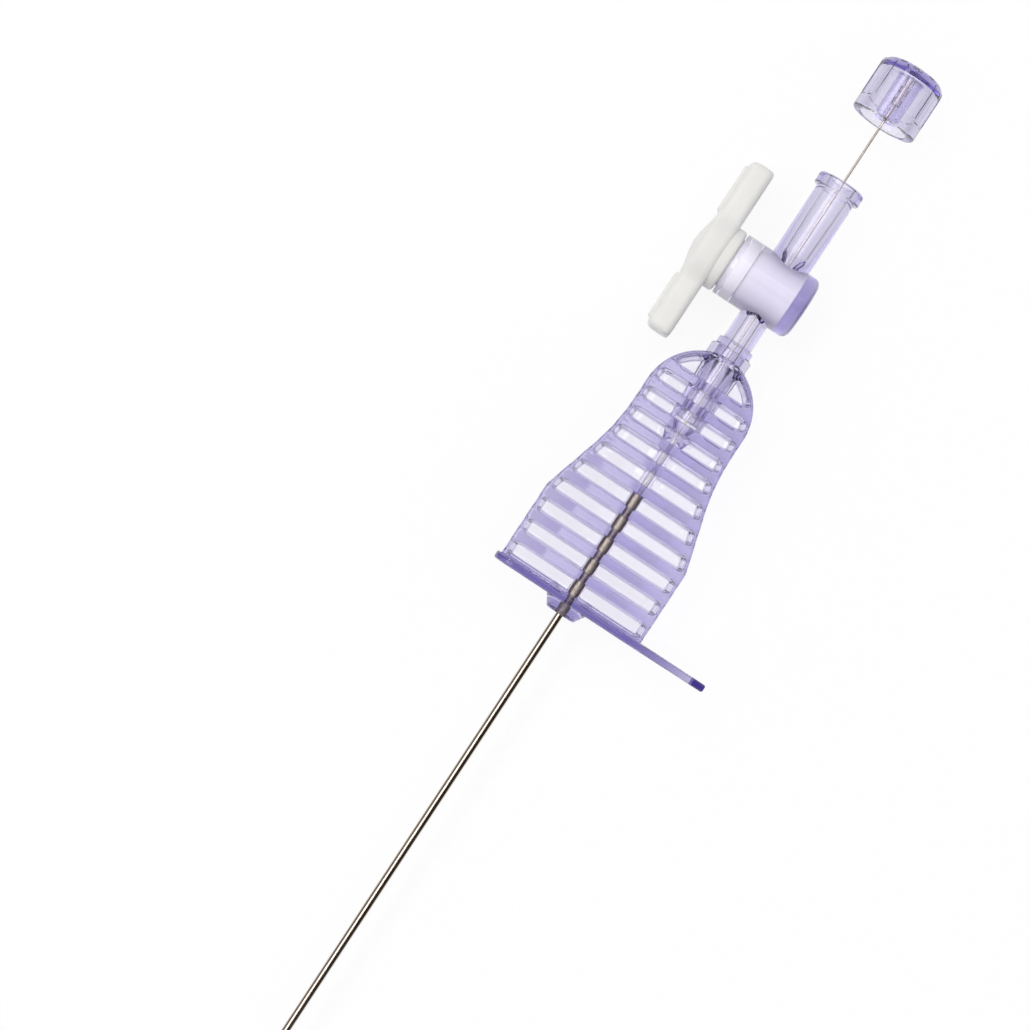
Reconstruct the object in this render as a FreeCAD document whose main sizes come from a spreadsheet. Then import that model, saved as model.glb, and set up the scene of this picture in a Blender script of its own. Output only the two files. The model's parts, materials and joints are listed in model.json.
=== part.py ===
import FreeCAD, Part
import math
import os

import Sketcher

# Transseptal needle: a long steel tube with a curved, tapered tip, a clear moulded grip
# with a pointer plate, a two-way tap on the grip's socket, and a stylet wire with a cap.
# Millimetres. The shaft runs along Y, the cap is towards +Y, the pointer and the
# curve of the tip lie towards +X, and the grip's broad face looks up along Z.
# The origin is the centre of the grip's end face, where the steel shaft leaves it.

# Each driving dimension: its name, its value and what it measures.
SIZES = [
    ("usable_length", 710, "centreline from the grip's end face to the needle's point"),
    ("shaft_diameter", 1.27, "outside of the shaft, 18 gauge"),
    ("shaft_wall", 0.215, "wall of the shaft"),
    ("bend_radius", 56, "centreline radius of the curved end"),
    ("bend_angle", 67.5, "turn of the curved end, in degrees"),
    ("taper_length", 2.2, "swaged cone between the shaft and the tip"),
    ("tip_length", 13, "parallel tip, up to the point"),
    ("tip_diameter", 0.82, "outside of the tip, 21 gauge"),
    ("tip_wall", 0.155, "wall of the tip"),
    ("bevel_angle", 50, "bevel of the point against the tip's axis, in degrees"),
    ("embed_length", 22.4, "shaft held inside the grip"),
    ("bond_gap", 0.01, "adhesive film round the shaft, each side"),
    ("boss_length", 1.94, "end boss of the grip"),
    ("boss_end_diameter", 5.2, "end boss at its end face"),
    ("boss_root_diameter", 7.3, "end boss at the pointer plate"),
    ("plate_thickness", 1.25, "pointer plate"),
    ("plate_height", 16, "pointer plate, across its parallel edges"),
    ("plate_back", 13.5, "shaft axis to the plate's round back edge"),
    ("plate_corner", 3, "corner radius of the plate's back"),
    ("pointer_reach", 24.9, "shaft axis to the pointer's end"),
    ("pointer_start", 9.5, "shaft axis to where the pointer starts to narrow"),
    ("pointer_width", 3.4, "blunt end of the pointer"),
    ("grip_width", 25.6, "grip at its parallel end"),
    ("grip_thickness", 8.4, "grip at its middle line"),
    ("grip_edge", 6.2, "grip at its side edges"),
    ("waist_width", 17.6, "grip at its waist"),
    ("shoulder_place", 15.9, "end face to the corner where the grip starts to narrow"),
    ("shoulder_radius", 4.6, "rounding of that corner"),
    ("narrowing", 16.2, "slope of the narrowing side, in degrees"),
    ("waist_radius", 35.5, "hollow sweep from the narrowing side into the waist"),
    ("arch_place", 37.9, "end face to the start of the arched end"),
    ("arch_radius", 9.3, "arched end of the grip"),
    ("rim_width", 1.3, "side wall of the grip at the web"),
    ("web_thickness", 1.0, "web in the middle of the grip"),
    ("pocket_margin", 0.5, "pointer plate to the first pocket"),
    ("rib_width", 1.9, "grip rib at the web"),
    ("rib_draft", 3.5, "draft of a rib's sides, in degrees"),
    ("rim_draft", 12, "draft of the side wall's inner face, in degrees"),
    ("first_rib", 6.8, "end face to the first rib"),
    ("rib_pitch", 4.02, "pitch of the lower ribs"),
    ("upper_rib", 30.6, "end face to the first upper rib"),
    ("upper_pitch", 3.63, "pitch of the upper ribs"),
    ("spine_diameter", 2.4, "round spine that carries the shaft"),
    ("lumen_diameter", 0.77, "moulded bore between the shaft and the socket"),
    ("socket_cone", 1.8, "cone at the bottom of the socket"),
    ("socket_wall", 0.72, "wall of the socket at its floor"),
    ("socket_top_wall", 0.95, "wall of the socket under its rim"),
    ("collar_diameter", 7.1, "rim of the socket"),
    ("collar_length", 2.0, "rim of the socket"),
    ("tap_seat", 48.6, "end face to the socket's rim, where the tap's stop collar seats"),
    ("luer_taper", 0.06, "luer taper, diameter over length"),
    ("luer_tip", 3.95, "tip of the male cones"),
    ("luer_gap", 0.02, "film between the male cone and the socket, each side"),
    ("male_length", 12.9, "male cone of the tap, from tip to stop collar"),
    ("socket_spare", 1.0, "room past the male cone at the bottom of the socket"),
    ("tap_lumen", 2.14, "bore of the tap's tubes"),
    ("stop_collar_diameter", 6.05, "stop collar of the tap"),
    ("stop_collar_length", 1.3, "stop collar of the tap"),
    ("tap_tube_diameter", 4.9, "tube between the stop collar and the barrel"),
    ("tap_rise", 11.4, "stop collar's seat to the barrel's axis"),
    ("barrel_diameter", 10.5, "barrel of the tap"),
    ("barrel_open_reach", 7.8, "shaft axis to the barrel's open end"),
    ("barrel_closed_reach", 5.75, "shaft axis to the barrel's closed end"),
    ("barrel_chamfer", 1.1, "broken edge of the closed end"),
    ("barrel_end_wall", 1.1, "wall of the closed end"),
    ("plug_end_reach", 3.4, "shaft axis to the plug's small end"),
    ("plug_small_diameter", 7.4, "plug at its small end"),
    ("plug_large_diameter", 8.0, "plug beside its snap ring"),
    ("plug_gap", 0.03, "running gap round the plug, each side"),
    ("ring_diameter", 8.9, "snap ring of the plug"),
    ("ring_inner_reach", 4.9, "shaft axis to the snap ring's inner face"),
    ("ring_outer_reach", 7.0, "shaft axis to the snap ring's outer face"),
    ("ring_play", 0.1, "end play of the snap ring, each side"),
    ("neck_diameter", 8.3, "plug where it passes the barrel's lip"),
    ("disc_diameter", 9.7, "disc outside the barrel"),
    ("disc_reach", 8.0, "shaft axis to the disc's inner face"),
    ("handle_reach", 9.55, "shaft axis to the handle's inner face"),
    ("handle_thickness", 4.1, "handle along the barrel's axis"),
    ("handle_length", 30.2, "handle from end to end"),
    ("handle_width", 6.8, "handle's wings across the barrel's axis"),
    ("hub_diameter", 11.6, "round middle of the handle"),
    ("dome_rise", 0.9, "raised middle of the handle"),
    ("dome_top_diameter", 5.4, "flat top of the raised middle"),
    ("pad_rise", 0.55, "raised finger pad on each wing"),
    ("pad_start", 5.9, "barrel's axis to the pad"),
    ("pad_margin", 0.95, "wing's edge to the pad"),
    ("luer_tube_diameter", 6.6, "tube of the inlet"),
    ("luer_mouth_place", 79.7, "end face to the mouth of the inlet"),
    ("luer_mouth_diameter", 4.3, "female cone at the mouth of the inlet"),
    ("luer_depth", 13.2, "depth of the female cone"),
    ("lug_diameter", 7.9, "screw rim round the mouth"),
    ("lug_length", 1.9, "screw rim round the mouth"),
    ("wire_diameter", 0.36, "stylet wire"),
    ("wire_showing", 13, "stylet wire past the needle's point"),
    ("cap_place", 91.0, "end face to the cap's open end"),
    ("cap_length", 9.5, "cap"),
    ("cap_diameter", 10.95, "plain band of the cap"),
    ("cap_band", 2.6, "plain band of the cap, along the cap"),
    ("cap_step", 0.12, "step from the band to the ribbed part, each side"),
    ("cap_chamfer", 0.8, "broken edge of the cap's closed end"),
    ("skirt_bore", 8.15, "bore of the cap's skirt"),
    ("skirt_depth", 6.6, "bore of the cap's skirt"),
    ("cone_base_diameter", 4.26, "male cone of the cap at the floor of the skirt"),
    ("cone_recess", 0.6, "male cone's end inside the skirt's edge"),
    ("cap_rib_width", 0.55, "grip rib on the cap"),
    ("ferrule_diameter", 1.0, "ferrule crimped on the wire"),
    ("ferrule_length", 5.0, "ferrule crimped on the wire"),
    ("ferrule_cover", 1.2, "cap's closed end past the ferrule"),
    ("crimp_depth", 0.12, "crimped waists of the ferrule"),
    ("crimp_length", 0.8, "crimped waists of the ferrule"),
]

LOWER_RIBS = 6
UPPER_RIBS = 4
CAP_RIBS = 8

doc = FreeCAD.newDocument("transseptal_needle")
sheet = doc.addObject("Spreadsheet::Sheet", "dims")
for row, (alias, value, meaning) in enumerate(SIZES, start=1):
    sheet.set(f"A{row}", meaning)
    sheet.set(f"B{row}", str(value))
    sheet.setAlias(f"B{row}", alias)
doc.recompute()

# Places and sizes that follow from the driving dimensions, as expressions.
PLATE_TOP = "(dims.boss_length + dims.plate_thickness)"
SHAFT_RADIUS = "(dims.shaft_diameter / 2)"
SHAFT_BORE = "(dims.shaft_diameter / 2 - dims.shaft_wall)"
TIP_RADIUS = "(dims.tip_diameter / 2)"
TIP_BORE = "(dims.tip_diameter / 2 - dims.tip_wall)"
BEND_LENGTH = "(dims.bend_radius * dims.bend_angle * pi / 180)"
STRAIGHT = f"(dims.usable_length - {BEND_LENGTH} - dims.taper_length - dims.tip_length)"
BEND_END_X = "(dims.bend_radius * (1 - cos(dims.bend_angle)))"
BEND_END_Y = f"(-{STRAIGHT} - dims.bend_radius * sin(dims.bend_angle))"
TIP_RUN = "(dims.taper_length + dims.tip_length)"
TIP_END_X = f"({BEND_END_X} + ({TIP_RUN} + dims.wire_showing) * sin(dims.bend_angle))"
TIP_END_Y = f"({BEND_END_Y} - ({TIP_RUN} + dims.wire_showing) * cos(dims.bend_angle))"
STOCK = "(dims.grip_thickness + dims.web_thickness)"
MALE_TIP = "(dims.tap_seat - dims.male_length)"
SOCKET_FLOOR = f"({MALE_TIP} - dims.socket_spare)"
COLLAR_START = "(dims.tap_seat - dims.collar_length)"
BARREL_PLACE = "(dims.tap_seat + dims.tap_rise)"
LUMEN = "(dims.tap_lumen / 2)"
HANDLE_FACE = "(dims.handle_reach + dims.handle_thickness)"
PAD_END = "(dims.handle_length / 2 - dims.pad_margin)"
FERRULE_END = "(dims.cap_length - dims.ferrule_cover)"
FERRULE_START = f"({FERRULE_END} - dims.ferrule_length)"
FERRULE_BORE = "(dims.wire_diameter / 2 + dims.bond_gap)"
WIRE_TOP = f"(dims.cap_place + {FERRULE_END})"


def number(expression):
    """The present value of an expression on the sheet."""
    return float(sheet.evalExpression(expression))


def plane(body, role):
    """The body's own origin plane of that role."""
    return next(one for one in body.Origin.OriginFeatures if one.Role == role)


def new_body(name):
    """An empty body whose label is the name of its file."""
    body = doc.addObject("PartDesign::Body", name)
    body.Label = name
    return body


def new_sketch(body, name, role, offsets=None):
    """A sketch on one of the body's planes, moved by the bound offsets."""
    sketch = body.newObject("Sketcher::SketchObject", name)
    sketch.AttachmentSupport = [(plane(body, role), "")]
    sketch.MapMode = "FlatFace"
    for path, expression in (offsets or {}).items():
        sketch.setExpression("AttachmentOffset." + path, expression)
    return sketch


def bind(sketch, constraint, expression):
    """Adds a constraint whose value follows the expression."""
    index = sketch.addConstraint(constraint)
    sketch.setExpression(f"Constraints[{index}]", expression)


def hold_point(sketch, side, end, across, along):
    """Holds one end of a side at the place given by two expressions."""
    for expression, axis, kind in ((across, -2, "DistanceX"), (along, -1, "DistanceY")):
        if expression == "0":
            sketch.addConstraint(Sketcher.Constraint("PointOnObject", side, end, axis))
            continue
        value = number(expression)
        bind(sketch, Sketcher.Constraint(kind, -1, 1, side, end, value), expression)


def arc_through(start, end, radius, turn):
    """The shorter arc between the two points, anticlockwise as a sketch stores it.
    Its centre is on the left of the way from start to end where turn is 1."""
    chord = end - start
    left = FreeCAD.Vector(-chord.y, chord.x, 0).normalize()
    rise = math.sqrt(max(radius**2 - (chord.Length / 2) ** 2, 0))
    centre = (start + end) / 2 + left * turn * rise
    middle = centre - left * turn * radius
    return Part.Arc(start, middle, end) if turn > 0 else Part.Arc(end, middle, start)


def draw(sketch, corners, closed=True):
    """An outline through the corners. A corner is two expressions, and where its side
    is an arc also the radius and the side its centre is on, 1 for left, -1 for right."""
    points = [FreeCAD.Vector(number(one[0]), number(one[1]), 0) for one in corners]
    count = len(corners) if closed else len(corners) - 1
    sides = []
    for i in range(count):
        start, end = points[i], points[(i + 1) % len(points)]
        if len(corners[i]) == 4:
            radius, turn = number(corners[i][2]), corners[i][3]
            curve = arc_through(start, end, radius, turn)
            side = sketch.addGeometry(curve, False)
            sides.append((side, 1, 2) if turn > 0 else (side, 2, 1))
        else:
            sides.append((sketch.addGeometry(Part.LineSegment(start, end), False), 1, 2))
    for i in range(count if closed else count - 1):
        side, _, last = sides[i]
        after, first, _ = sides[(i + 1) % count]
        sketch.addConstraint(Sketcher.Constraint("Coincident", side, last, after, first))
    for (side, first, _), corner in zip(sides, corners):
        hold_point(sketch, side, first, corner[0], corner[1])
        if len(corner) == 4:
            value = number(corner[2])
            bind(sketch, Sketcher.Constraint("Radius", side, value), corner[2])
    if not closed:
        hold_point(sketch, sides[-1][0], sides[-1][2], corners[-1][0], corners[-1][1])


def draw_circle(sketch, across, along, radius):
    """A circle with its centre and radius given by expressions."""
    centre = FreeCAD.Vector(number(across), number(along), 0)
    circle = Part.Circle(centre, FreeCAD.Vector(0, 0, 1), number(radius))
    side = sketch.addGeometry(circle, False)
    hold_point(sketch, side, 3, across, along)
    bind(sketch, Sketcher.Constraint("Radius", side, number(radius)), radius)


def revolve(body, kind, sketch, axis):
    """A full turn of the sketch about one of its own axes, added or cut away."""
    feature = body.newObject("PartDesign::" + kind, sketch.Name + "_turned")
    feature.Profile = sketch
    feature.ReferenceAxis = (sketch, [axis])
    feature.Angle = 360
    return feature


def pad(body, sketch, length, reverse=False, both=False):
    """A pad of the sketch, to one side or equally to both."""
    feature = body.newObject("PartDesign::Pad", sketch.Name + "_pad")
    feature.Profile = sketch
    feature.setExpression("Length", length)
    feature.Reversed = reverse
    feature.Midplane = both
    return feature


def pocket_through(body, sketch):
    """Cuts the sketch right through the body, both ways."""
    feature = body.newObject("PartDesign::Pocket", sketch.Name + "_cut")
    feature.Profile = sketch
    feature.SideType = "Symmetric"
    feature.Type = "ThroughAll"
    return feature


def mirrored_corners(right):
    """The corners of an outline whose left half mirrors its right half."""
    left = []
    for i in range(len(right) - 1, -1, -1):
        corner = right[i]
        arc = right[i - 1][2:] if i and len(right[i - 1]) == 4 else ()
        left.append((f"-{corner[0]}", corner[1]) + tuple(arc))
    return right + left


def grip_corners(bottom, inset):
    """The grip's outline, moved inwards by the inset: parallel sides, a rounded corner,
    the narrowing sides, a hollow sweep into the waist and the arched end."""
    half = f"(dims.grip_width / 2 - {inset})"
    waist = f"(dims.waist_width / 2 - {inset})"
    slope = "dims.narrowing"
    corner = f"(dims.shoulder_place - {inset} * tan({slope} / 2))"
    shoulder = f"(dims.shoulder_radius - {inset})"
    sweep = f"(dims.waist_radius + {inset})"
    arch = f"(dims.arch_radius - {inset})"
    soft = f"({shoulder} * tan({slope} / 2))"
    hollow = f"({sweep} * tan({slope} / 2))"
    meet = f"({corner} + ({half} - {waist}) / tan({slope}))"
    top = "(dims.spine_diameter / 2)"
    rise = f"sqrt({arch}^2 - ({top} - {waist} + {arch})^2)"
    return mirrored_corners(
        [
            (half, bottom),
            (half, f"({corner} - {soft})", shoulder, 1),
            (f"({half} - {soft} * sin({slope}))", f"({corner} + {soft} * cos({slope}))"),
            (
                f"({waist} + {hollow} * sin({slope}))",
                f"({meet} - {hollow} * cos({slope}))",
                sweep,
                -1,
            ),
            (waist, f"({meet} + {hollow})"),
            (waist, "dims.arch_place", arch, 1),
            (top, f"(dims.arch_place + {rise})"),
        ]
    )


def rectangle(left, right, bottom, top):
    """The four corners of an upright rectangle."""
    return [(left, bottom), (right, bottom), (right, top), (left, top)]


def cone_radius(place):
    """The radius of the tap's male cone at a place along the shaft's axis."""
    return f"(dims.luer_tip / 2 + dims.luer_taper / 2 * ({place} - {MALE_TIP}))"


def grip_half_width(place, inset):
    """Half the grip's width at a place, moved inwards, by the stretch the place is on."""
    half = f"(dims.grip_width / 2 - {inset})"
    waist = f"(dims.waist_width / 2 - {inset})"
    slope = "dims.narrowing"
    corner = f"(dims.shoulder_place - {inset} * tan({slope} / 2))"
    sweep = f"(dims.waist_radius + {inset})"
    arch = f"(dims.arch_radius - {inset})"
    waist_start = f"({corner} + ({half} - {waist}) / tan({slope}) + {sweep} * tan({slope} / 2))"
    sweep_start = f"({waist_start} - {sweep} * sin({slope}))"
    at = number(place)
    if at <= number(corner):
        return half
    if at <= number(sweep_start):
        return f"({half} - ({place} - {corner}) * tan({slope}))"
    if at <= number(waist_start):
        return f"({waist} + {sweep} - sqrt({sweep}^2 - ({waist_start} - {place})^2))"
    if at <= number("dims.arch_place"):
        return waist
    return f"({waist} - {arch} + sqrt({arch}^2 - ({place} - dims.arch_place)^2))"


def bay_corners(low, high, inset):
    """The outline of the hollow between two ribs. The last one ends in the arch."""
    if high is not None:
        near, far = grip_half_width(low, inset), grip_half_width(high, inset)
        return [(f"-{near}", low), (near, low), (far, high), (f"-{far}", high)]
    arch = f"(dims.arch_radius - {inset})"
    top = "(dims.spine_diameter / 2)"
    centre = f"(dims.waist_width / 2 - {inset} - {arch})"
    rise = f"sqrt({arch}^2 - ({top} - {centre})^2)"
    near = grip_half_width(low, inset)
    return mirrored_corners([(near, low, arch, 1), (top, f"(dims.arch_place + {rise})")])


def rib_places():
    """The middle of every rib across the grip, from the pointer plate upwards."""
    lower = [f"(dims.first_rib + {i} * dims.rib_pitch)" for i in range(LOWER_RIBS)]
    upper = [f"(dims.upper_rib + {i} * dims.upper_pitch)" for i in range(UPPER_RIBS)]
    return lower + upper


def draft_hollows(body, name, side, on_rim):
    """Leans the hollows' walls on one side of the web, wider at the mouth: the ones on
    the grip's rim, or the ones on its ribs. The arched hollow keeps its upright wall."""
    doc.recompute()
    base = body.Tip
    level = number("dims.web_thickness / 2")
    last_rib = number(rib_places()[-1])
    walls, floors = [], []
    for i, face in enumerate(base.Shape.Faces):
        box = face.BoundBox
        low, high = sorted((side * box.ZMin, side * box.ZMax))
        if abs(low - level) > 1e-4 or face.CenterOfMass.y > last_rib:
            continue
        if high - low < 1e-4:
            floors.append(f"Face{i + 1}")
        elif isinstance(face.Surface, Part.Plane):
            across = abs(face.Surface.Axis.x) > abs(face.Surface.Axis.y)
            if across == on_rim:
                walls.append(f"Face{i + 1}")
    draft = body.newObject("PartDesign::Draft", name)
    draft.Base = (base, walls)
    draft.NeutralPlane = (base, [floors[0]])
    draft.setExpression("Angle", "dims.rim_draft" if on_rim else "dims.rib_draft")


def grip_blank(body):
    """The grip: its outline, a shallow crown on both faces and the hollows that leave
    the side walls, the cross ribs and a thin web in the middle."""
    outline = new_sketch(body, "grip_outline", "XY_Plane")
    draw(outline, grip_corners("dims.boss_length", "0"))
    pad(body, outline, STOCK, both=True)
    crown = new_sketch(body, "grip_crown", "XZ_Plane")
    half, edge = "(dims.grip_width / 2)", "(dims.grip_edge / 2)"
    out = "(dims.grip_width / 2 + dims.rib_width)"
    sag = "((dims.grip_thickness - dims.grip_edge) / 2)"
    radius = f"(({half}^2 + {sag}^2) / (2 * {sag}))"
    for sign, mirror in (("", "-"), ("-", "")):
        level, far = f"{sign}{edge}", f"{sign}{STOCK}"
        arc = [(f"{mirror}{half}", level, radius, -1), (f"{sign}{half}", level)]
        outer = [(f"{sign}{out}", level), (f"{sign}{out}", far)]
        draw(crown, arc + outer + [(f"{mirror}{out}", far), (f"{mirror}{out}", level)])
    pocket_through(body, crown)
    floor = "(dims.web_thickness / 2)"
    starts = [f"({PLATE_TOP} + dims.pocket_margin)"]
    starts += [f"({place} + dims.rib_width / 2)" for place in rib_places()]
    ends = [f"({place} - dims.rib_width / 2)" for place in rib_places()] + [None]
    floors = new_sketch(body, "hollow_floors", "XY_Plane", {"Base.z": floor})
    for low, high in zip(starts, ends):
        draw(floors, bay_corners(low, high, "dims.rim_width"))
    above = body.newObject("PartDesign::Pocket", "hollows_above")
    above.Profile = floors
    above.Reversed = True
    above.setExpression("Length", f"({STOCK} / 2 - {floor})")
    below = body.newObject("PartDesign::Mirrored", "hollows_below")
    below.Originals = [above]
    below.MirrorPlane = (plane(body, "XY_Plane"), [""])
    body.Tip = below
    draft_hollows(body, "rib_draft_above", 1, False)
    draft_hollows(body, "rib_draft_below", -1, False)
    draft_hollows(body, "rim_draft_above", 1, True)
    draft_hollows(body, "rim_draft_below", -1, True)


def make_grip():
    """One clear moulding: end boss, pointer plate, ribbed grip, spine and socket."""
    body = new_body("hub_grip")
    grip_blank(body)
    plate = new_sketch(
        body, "pointer_plate", "XZ_Plane", {"Base.z": "-dims.boss_length"}
    )
    high, back = "(dims.plate_height / 2)", "dims.plate_back"
    tip, corner = "(dims.pointer_width / 2)", "dims.plate_corner"
    draw(
        plate,
        [
            (f"-({back} - {corner})", f"-{high}"),
            ("dims.pointer_start", f"-{high}"),
            ("dims.pointer_reach", f"-{tip}"),
            ("dims.pointer_reach", tip),
            ("dims.pointer_start", high),
            (f"-({back} - {corner})", high, corner, 1),
            (f"-{back}", f"({high} - {corner})"),
            (f"-{back}", f"-({high} - {corner})", corner, 1),
        ],
    )
    pad(body, plate, "dims.plate_thickness", reverse=True)
    core = new_sketch(body, "spine_and_socket", "XY_Plane")
    spine = "(dims.spine_diameter / 2)"
    wall = "(dims.luer_gap + dims.socket_wall)"
    top_wall = "(dims.luer_gap + dims.socket_top_wall)"
    rim = "(dims.collar_diameter / 2)"
    draw(
        core,
        [
            ("0", "0"),
            ("(dims.boss_end_diameter / 2)", "0"),
            ("(dims.boss_root_diameter / 2)", "dims.boss_length"),
            (spine, "dims.boss_length"),
            (spine, f"({SOCKET_FLOOR} - 1.5 * dims.socket_cone)"),
            (f"({cone_radius(MALE_TIP)} + {wall})", SOCKET_FLOOR),
            (f"({cone_radius(COLLAR_START)} + {top_wall})", COLLAR_START),
            (rim, COLLAR_START),
            (rim, "dims.tap_seat"),
            ("0", "dims.tap_seat"),
        ],
    )
    revolve(body, "Revolution", core, "V_Axis")
    bore = new_sketch(body, "grip_bore", "XY_Plane")
    hold = f"({SHAFT_RADIUS} + dims.bond_gap)"
    past = "(dims.tap_seat + dims.socket_spare)"
    draw(
        bore,
        [
            ("0", "-dims.socket_spare"),
            (hold, "-dims.socket_spare"),
            (hold, "dims.embed_length"),
            ("(dims.lumen_diameter / 2)", "dims.embed_length"),
            ("(dims.lumen_diameter / 2)", f"({SOCKET_FLOOR} - dims.socket_cone)"),
            (f"({cone_radius(SOCKET_FLOOR)} + dims.luer_gap)", SOCKET_FLOOR),
            (f"({cone_radius(past)} + dims.luer_gap)", past),
            ("0", past),
        ],
    )
    revolve(body, "Groove", bore, "V_Axis")
    return body


def make_shaft():
    """The steel tube: straight shaft, curved end, swaged cone and bevelled tip."""
    body = new_body("needle_shaft")
    ring = new_sketch(body, "shaft_section", "XZ_Plane", {"Base.z": "-dims.embed_length"})
    draw_circle(ring, "0", "0", SHAFT_RADIUS)
    draw_circle(ring, "0", "0", SHAFT_BORE)
    path = new_sketch(body, "shaft_path", "XY_Plane")
    bend = ("0", f"-{STRAIGHT}", "dims.bend_radius", 1)
    draw(path, [("0", "dims.embed_length"), bend, (BEND_END_X, BEND_END_Y)], closed=False)
    sweep(body, ring, path)
    offsets = {
        "Base.x": BEND_END_X,
        "Base.y": BEND_END_Y,
        "Rotation.Angle": "dims.bend_angle",
    }
    tip = new_sketch(body, "swaged_tip", "XY_Plane", offsets)
    draw(
        tip,
        [
            (SHAFT_BORE, "0"),
            (TIP_BORE, "-dims.taper_length"),
            (TIP_BORE, f"-{TIP_RUN}"),
            (TIP_RADIUS, f"-{TIP_RUN}"),
            (TIP_RADIUS, "-dims.taper_length"),
            (SHAFT_RADIUS, "0"),
        ],
    )
    revolve(body, "Revolution", tip, "V_Axis")
    bevel = new_sketch(body, "point_bevel", "XY_Plane", offsets)
    wide = "dims.tip_diameter"
    draw(
        bevel,
        [
            (f"-{TIP_RADIUS}", f"-{TIP_RUN}"),
            (f"-{TIP_RADIUS}", f"-({TIP_RUN} + {wide})"),
            (wide, f"-({TIP_RUN} + {wide})"),
            (wide, f"-({TIP_RUN} - 1.5 * {wide} / tan(dims.bevel_angle))"),
        ],
    )
    pocket_through(body, bevel)
    return body


def sweep(body, section, path):
    """Carries a section along a path."""
    feature = body.newObject("PartDesign::AdditivePipe", path.Name + "_pipe")
    feature.Profile = section
    edges = [f"Edge{i + 1}" for i in range(len(path.Geometry))]
    feature.Spine = (path, edges)
    return feature


def make_wire():
    """The stylet wire, from the ferrule in its cap to its end past the point."""
    body = new_body("stylet_wire")
    section = new_sketch(body, "wire_section", "XZ_Plane", {"Base.z": f"-{WIRE_TOP}"})
    draw_circle(section, "0", "0", "(dims.wire_diameter / 2)")
    path = new_sketch(body, "wire_path", "XY_Plane")
    bend = ("0", f"-{STRAIGHT}", "dims.bend_radius", 1)
    route = [("0", WIRE_TOP), bend, (BEND_END_X, BEND_END_Y), (TIP_END_X, TIP_END_Y)]
    draw(path, route, closed=False)
    sweep(body, section, path)
    return body


def make_tap_body():
    """The tap's clear moulding: male cone, stop collar, barrel and female inlet."""
    body = new_body("tap_body")
    tubes = new_sketch(body, "tap_tubes", "XY_Plane")
    stop, tube = "(dims.stop_collar_diameter / 2)", "(dims.tap_tube_diameter / 2)"
    stop_end = "(dims.tap_seat + dims.stop_collar_length)"
    inlet, lug = "(dims.luer_tube_diameter / 2)", "(dims.lug_diameter / 2)"
    mouth, lug_start = "dims.luer_mouth_place", "(dims.luer_mouth_place - dims.lug_length)"
    draw(
        tubes,
        [
            ("0", MALE_TIP),
            (cone_radius(MALE_TIP), MALE_TIP),
            (cone_radius("dims.tap_seat"), "dims.tap_seat"),
            (stop, "dims.tap_seat"),
            (stop, stop_end),
            (tube, stop_end),
            (tube, BARREL_PLACE),
            (inlet, BARREL_PLACE),
            (inlet, lug_start),
            (lug, lug_start),
            (lug, mouth),
            ("0", mouth),
        ],
    )
    revolve(body, "Revolution", tubes, "V_Axis")
    barrel = new_sketch(body, "tap_barrel", "XY_Plane", {"Base.y": BARREL_PLACE})
    out, end = "dims.barrel_open_reach", "dims.barrel_closed_reach"
    radius, soft = "(dims.barrel_diameter / 2)", "dims.barrel_chamfer"
    draw(
        barrel,
        [
            (f"-{out}", "0"),
            (end, "0"),
            (end, f"({radius} - {soft})"),
            (f"({end} - {soft})", radius),
            (f"-{out}", radius),
        ],
    )
    revolve(body, "Revolution", barrel, "H_Axis")
    bore = new_sketch(body, "barrel_bore", "XY_Plane", {"Base.y": BARREL_PLACE})
    small = "(dims.plug_small_diameter / 2 + dims.plug_gap)"
    large = "(dims.plug_large_diameter / 2 + dims.plug_gap)"
    ring = "(dims.ring_diameter / 2 + dims.plug_gap)"
    neck = "(dims.neck_diameter / 2 + dims.plug_gap)"
    ring_in = "-(dims.ring_inner_reach - dims.ring_play)"
    ring_out = "-(dims.ring_outer_reach + dims.ring_play)"
    past = "-(dims.barrel_open_reach + dims.barrel_end_wall)"
    floor = "(dims.barrel_closed_reach - dims.barrel_end_wall)"
    draw(
        bore,
        [
            (past, "0"),
            (floor, "0"),
            (floor, small),
            ("dims.plug_end_reach", small),
            (ring_in, large),
            (ring_in, ring),
            (ring_out, ring),
            (ring_out, neck),
            (past, neck),
        ],
    )
    revolve(body, "Groove", bore, "H_Axis")
    lumen = new_sketch(body, "tap_lumen", "XY_Plane")
    inner = "(dims.luer_mouth_place - dims.luer_depth)"
    beyond = "(dims.luer_mouth_place + dims.lug_length)"
    half_mouth = "dims.luer_mouth_diameter / 2"
    draw(
        lumen,
        [
            ("0", SOCKET_FLOOR),
            (LUMEN, SOCKET_FLOOR),
            (LUMEN, inner),
            (f"({half_mouth} - dims.luer_taper / 2 * dims.luer_depth)", inner),
            (f"({half_mouth} + dims.luer_taper / 2 * dims.lug_length)", beyond),
            ("0", beyond),
        ],
    )
    revolve(body, "Groove", lumen, "V_Axis")
    return body


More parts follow.
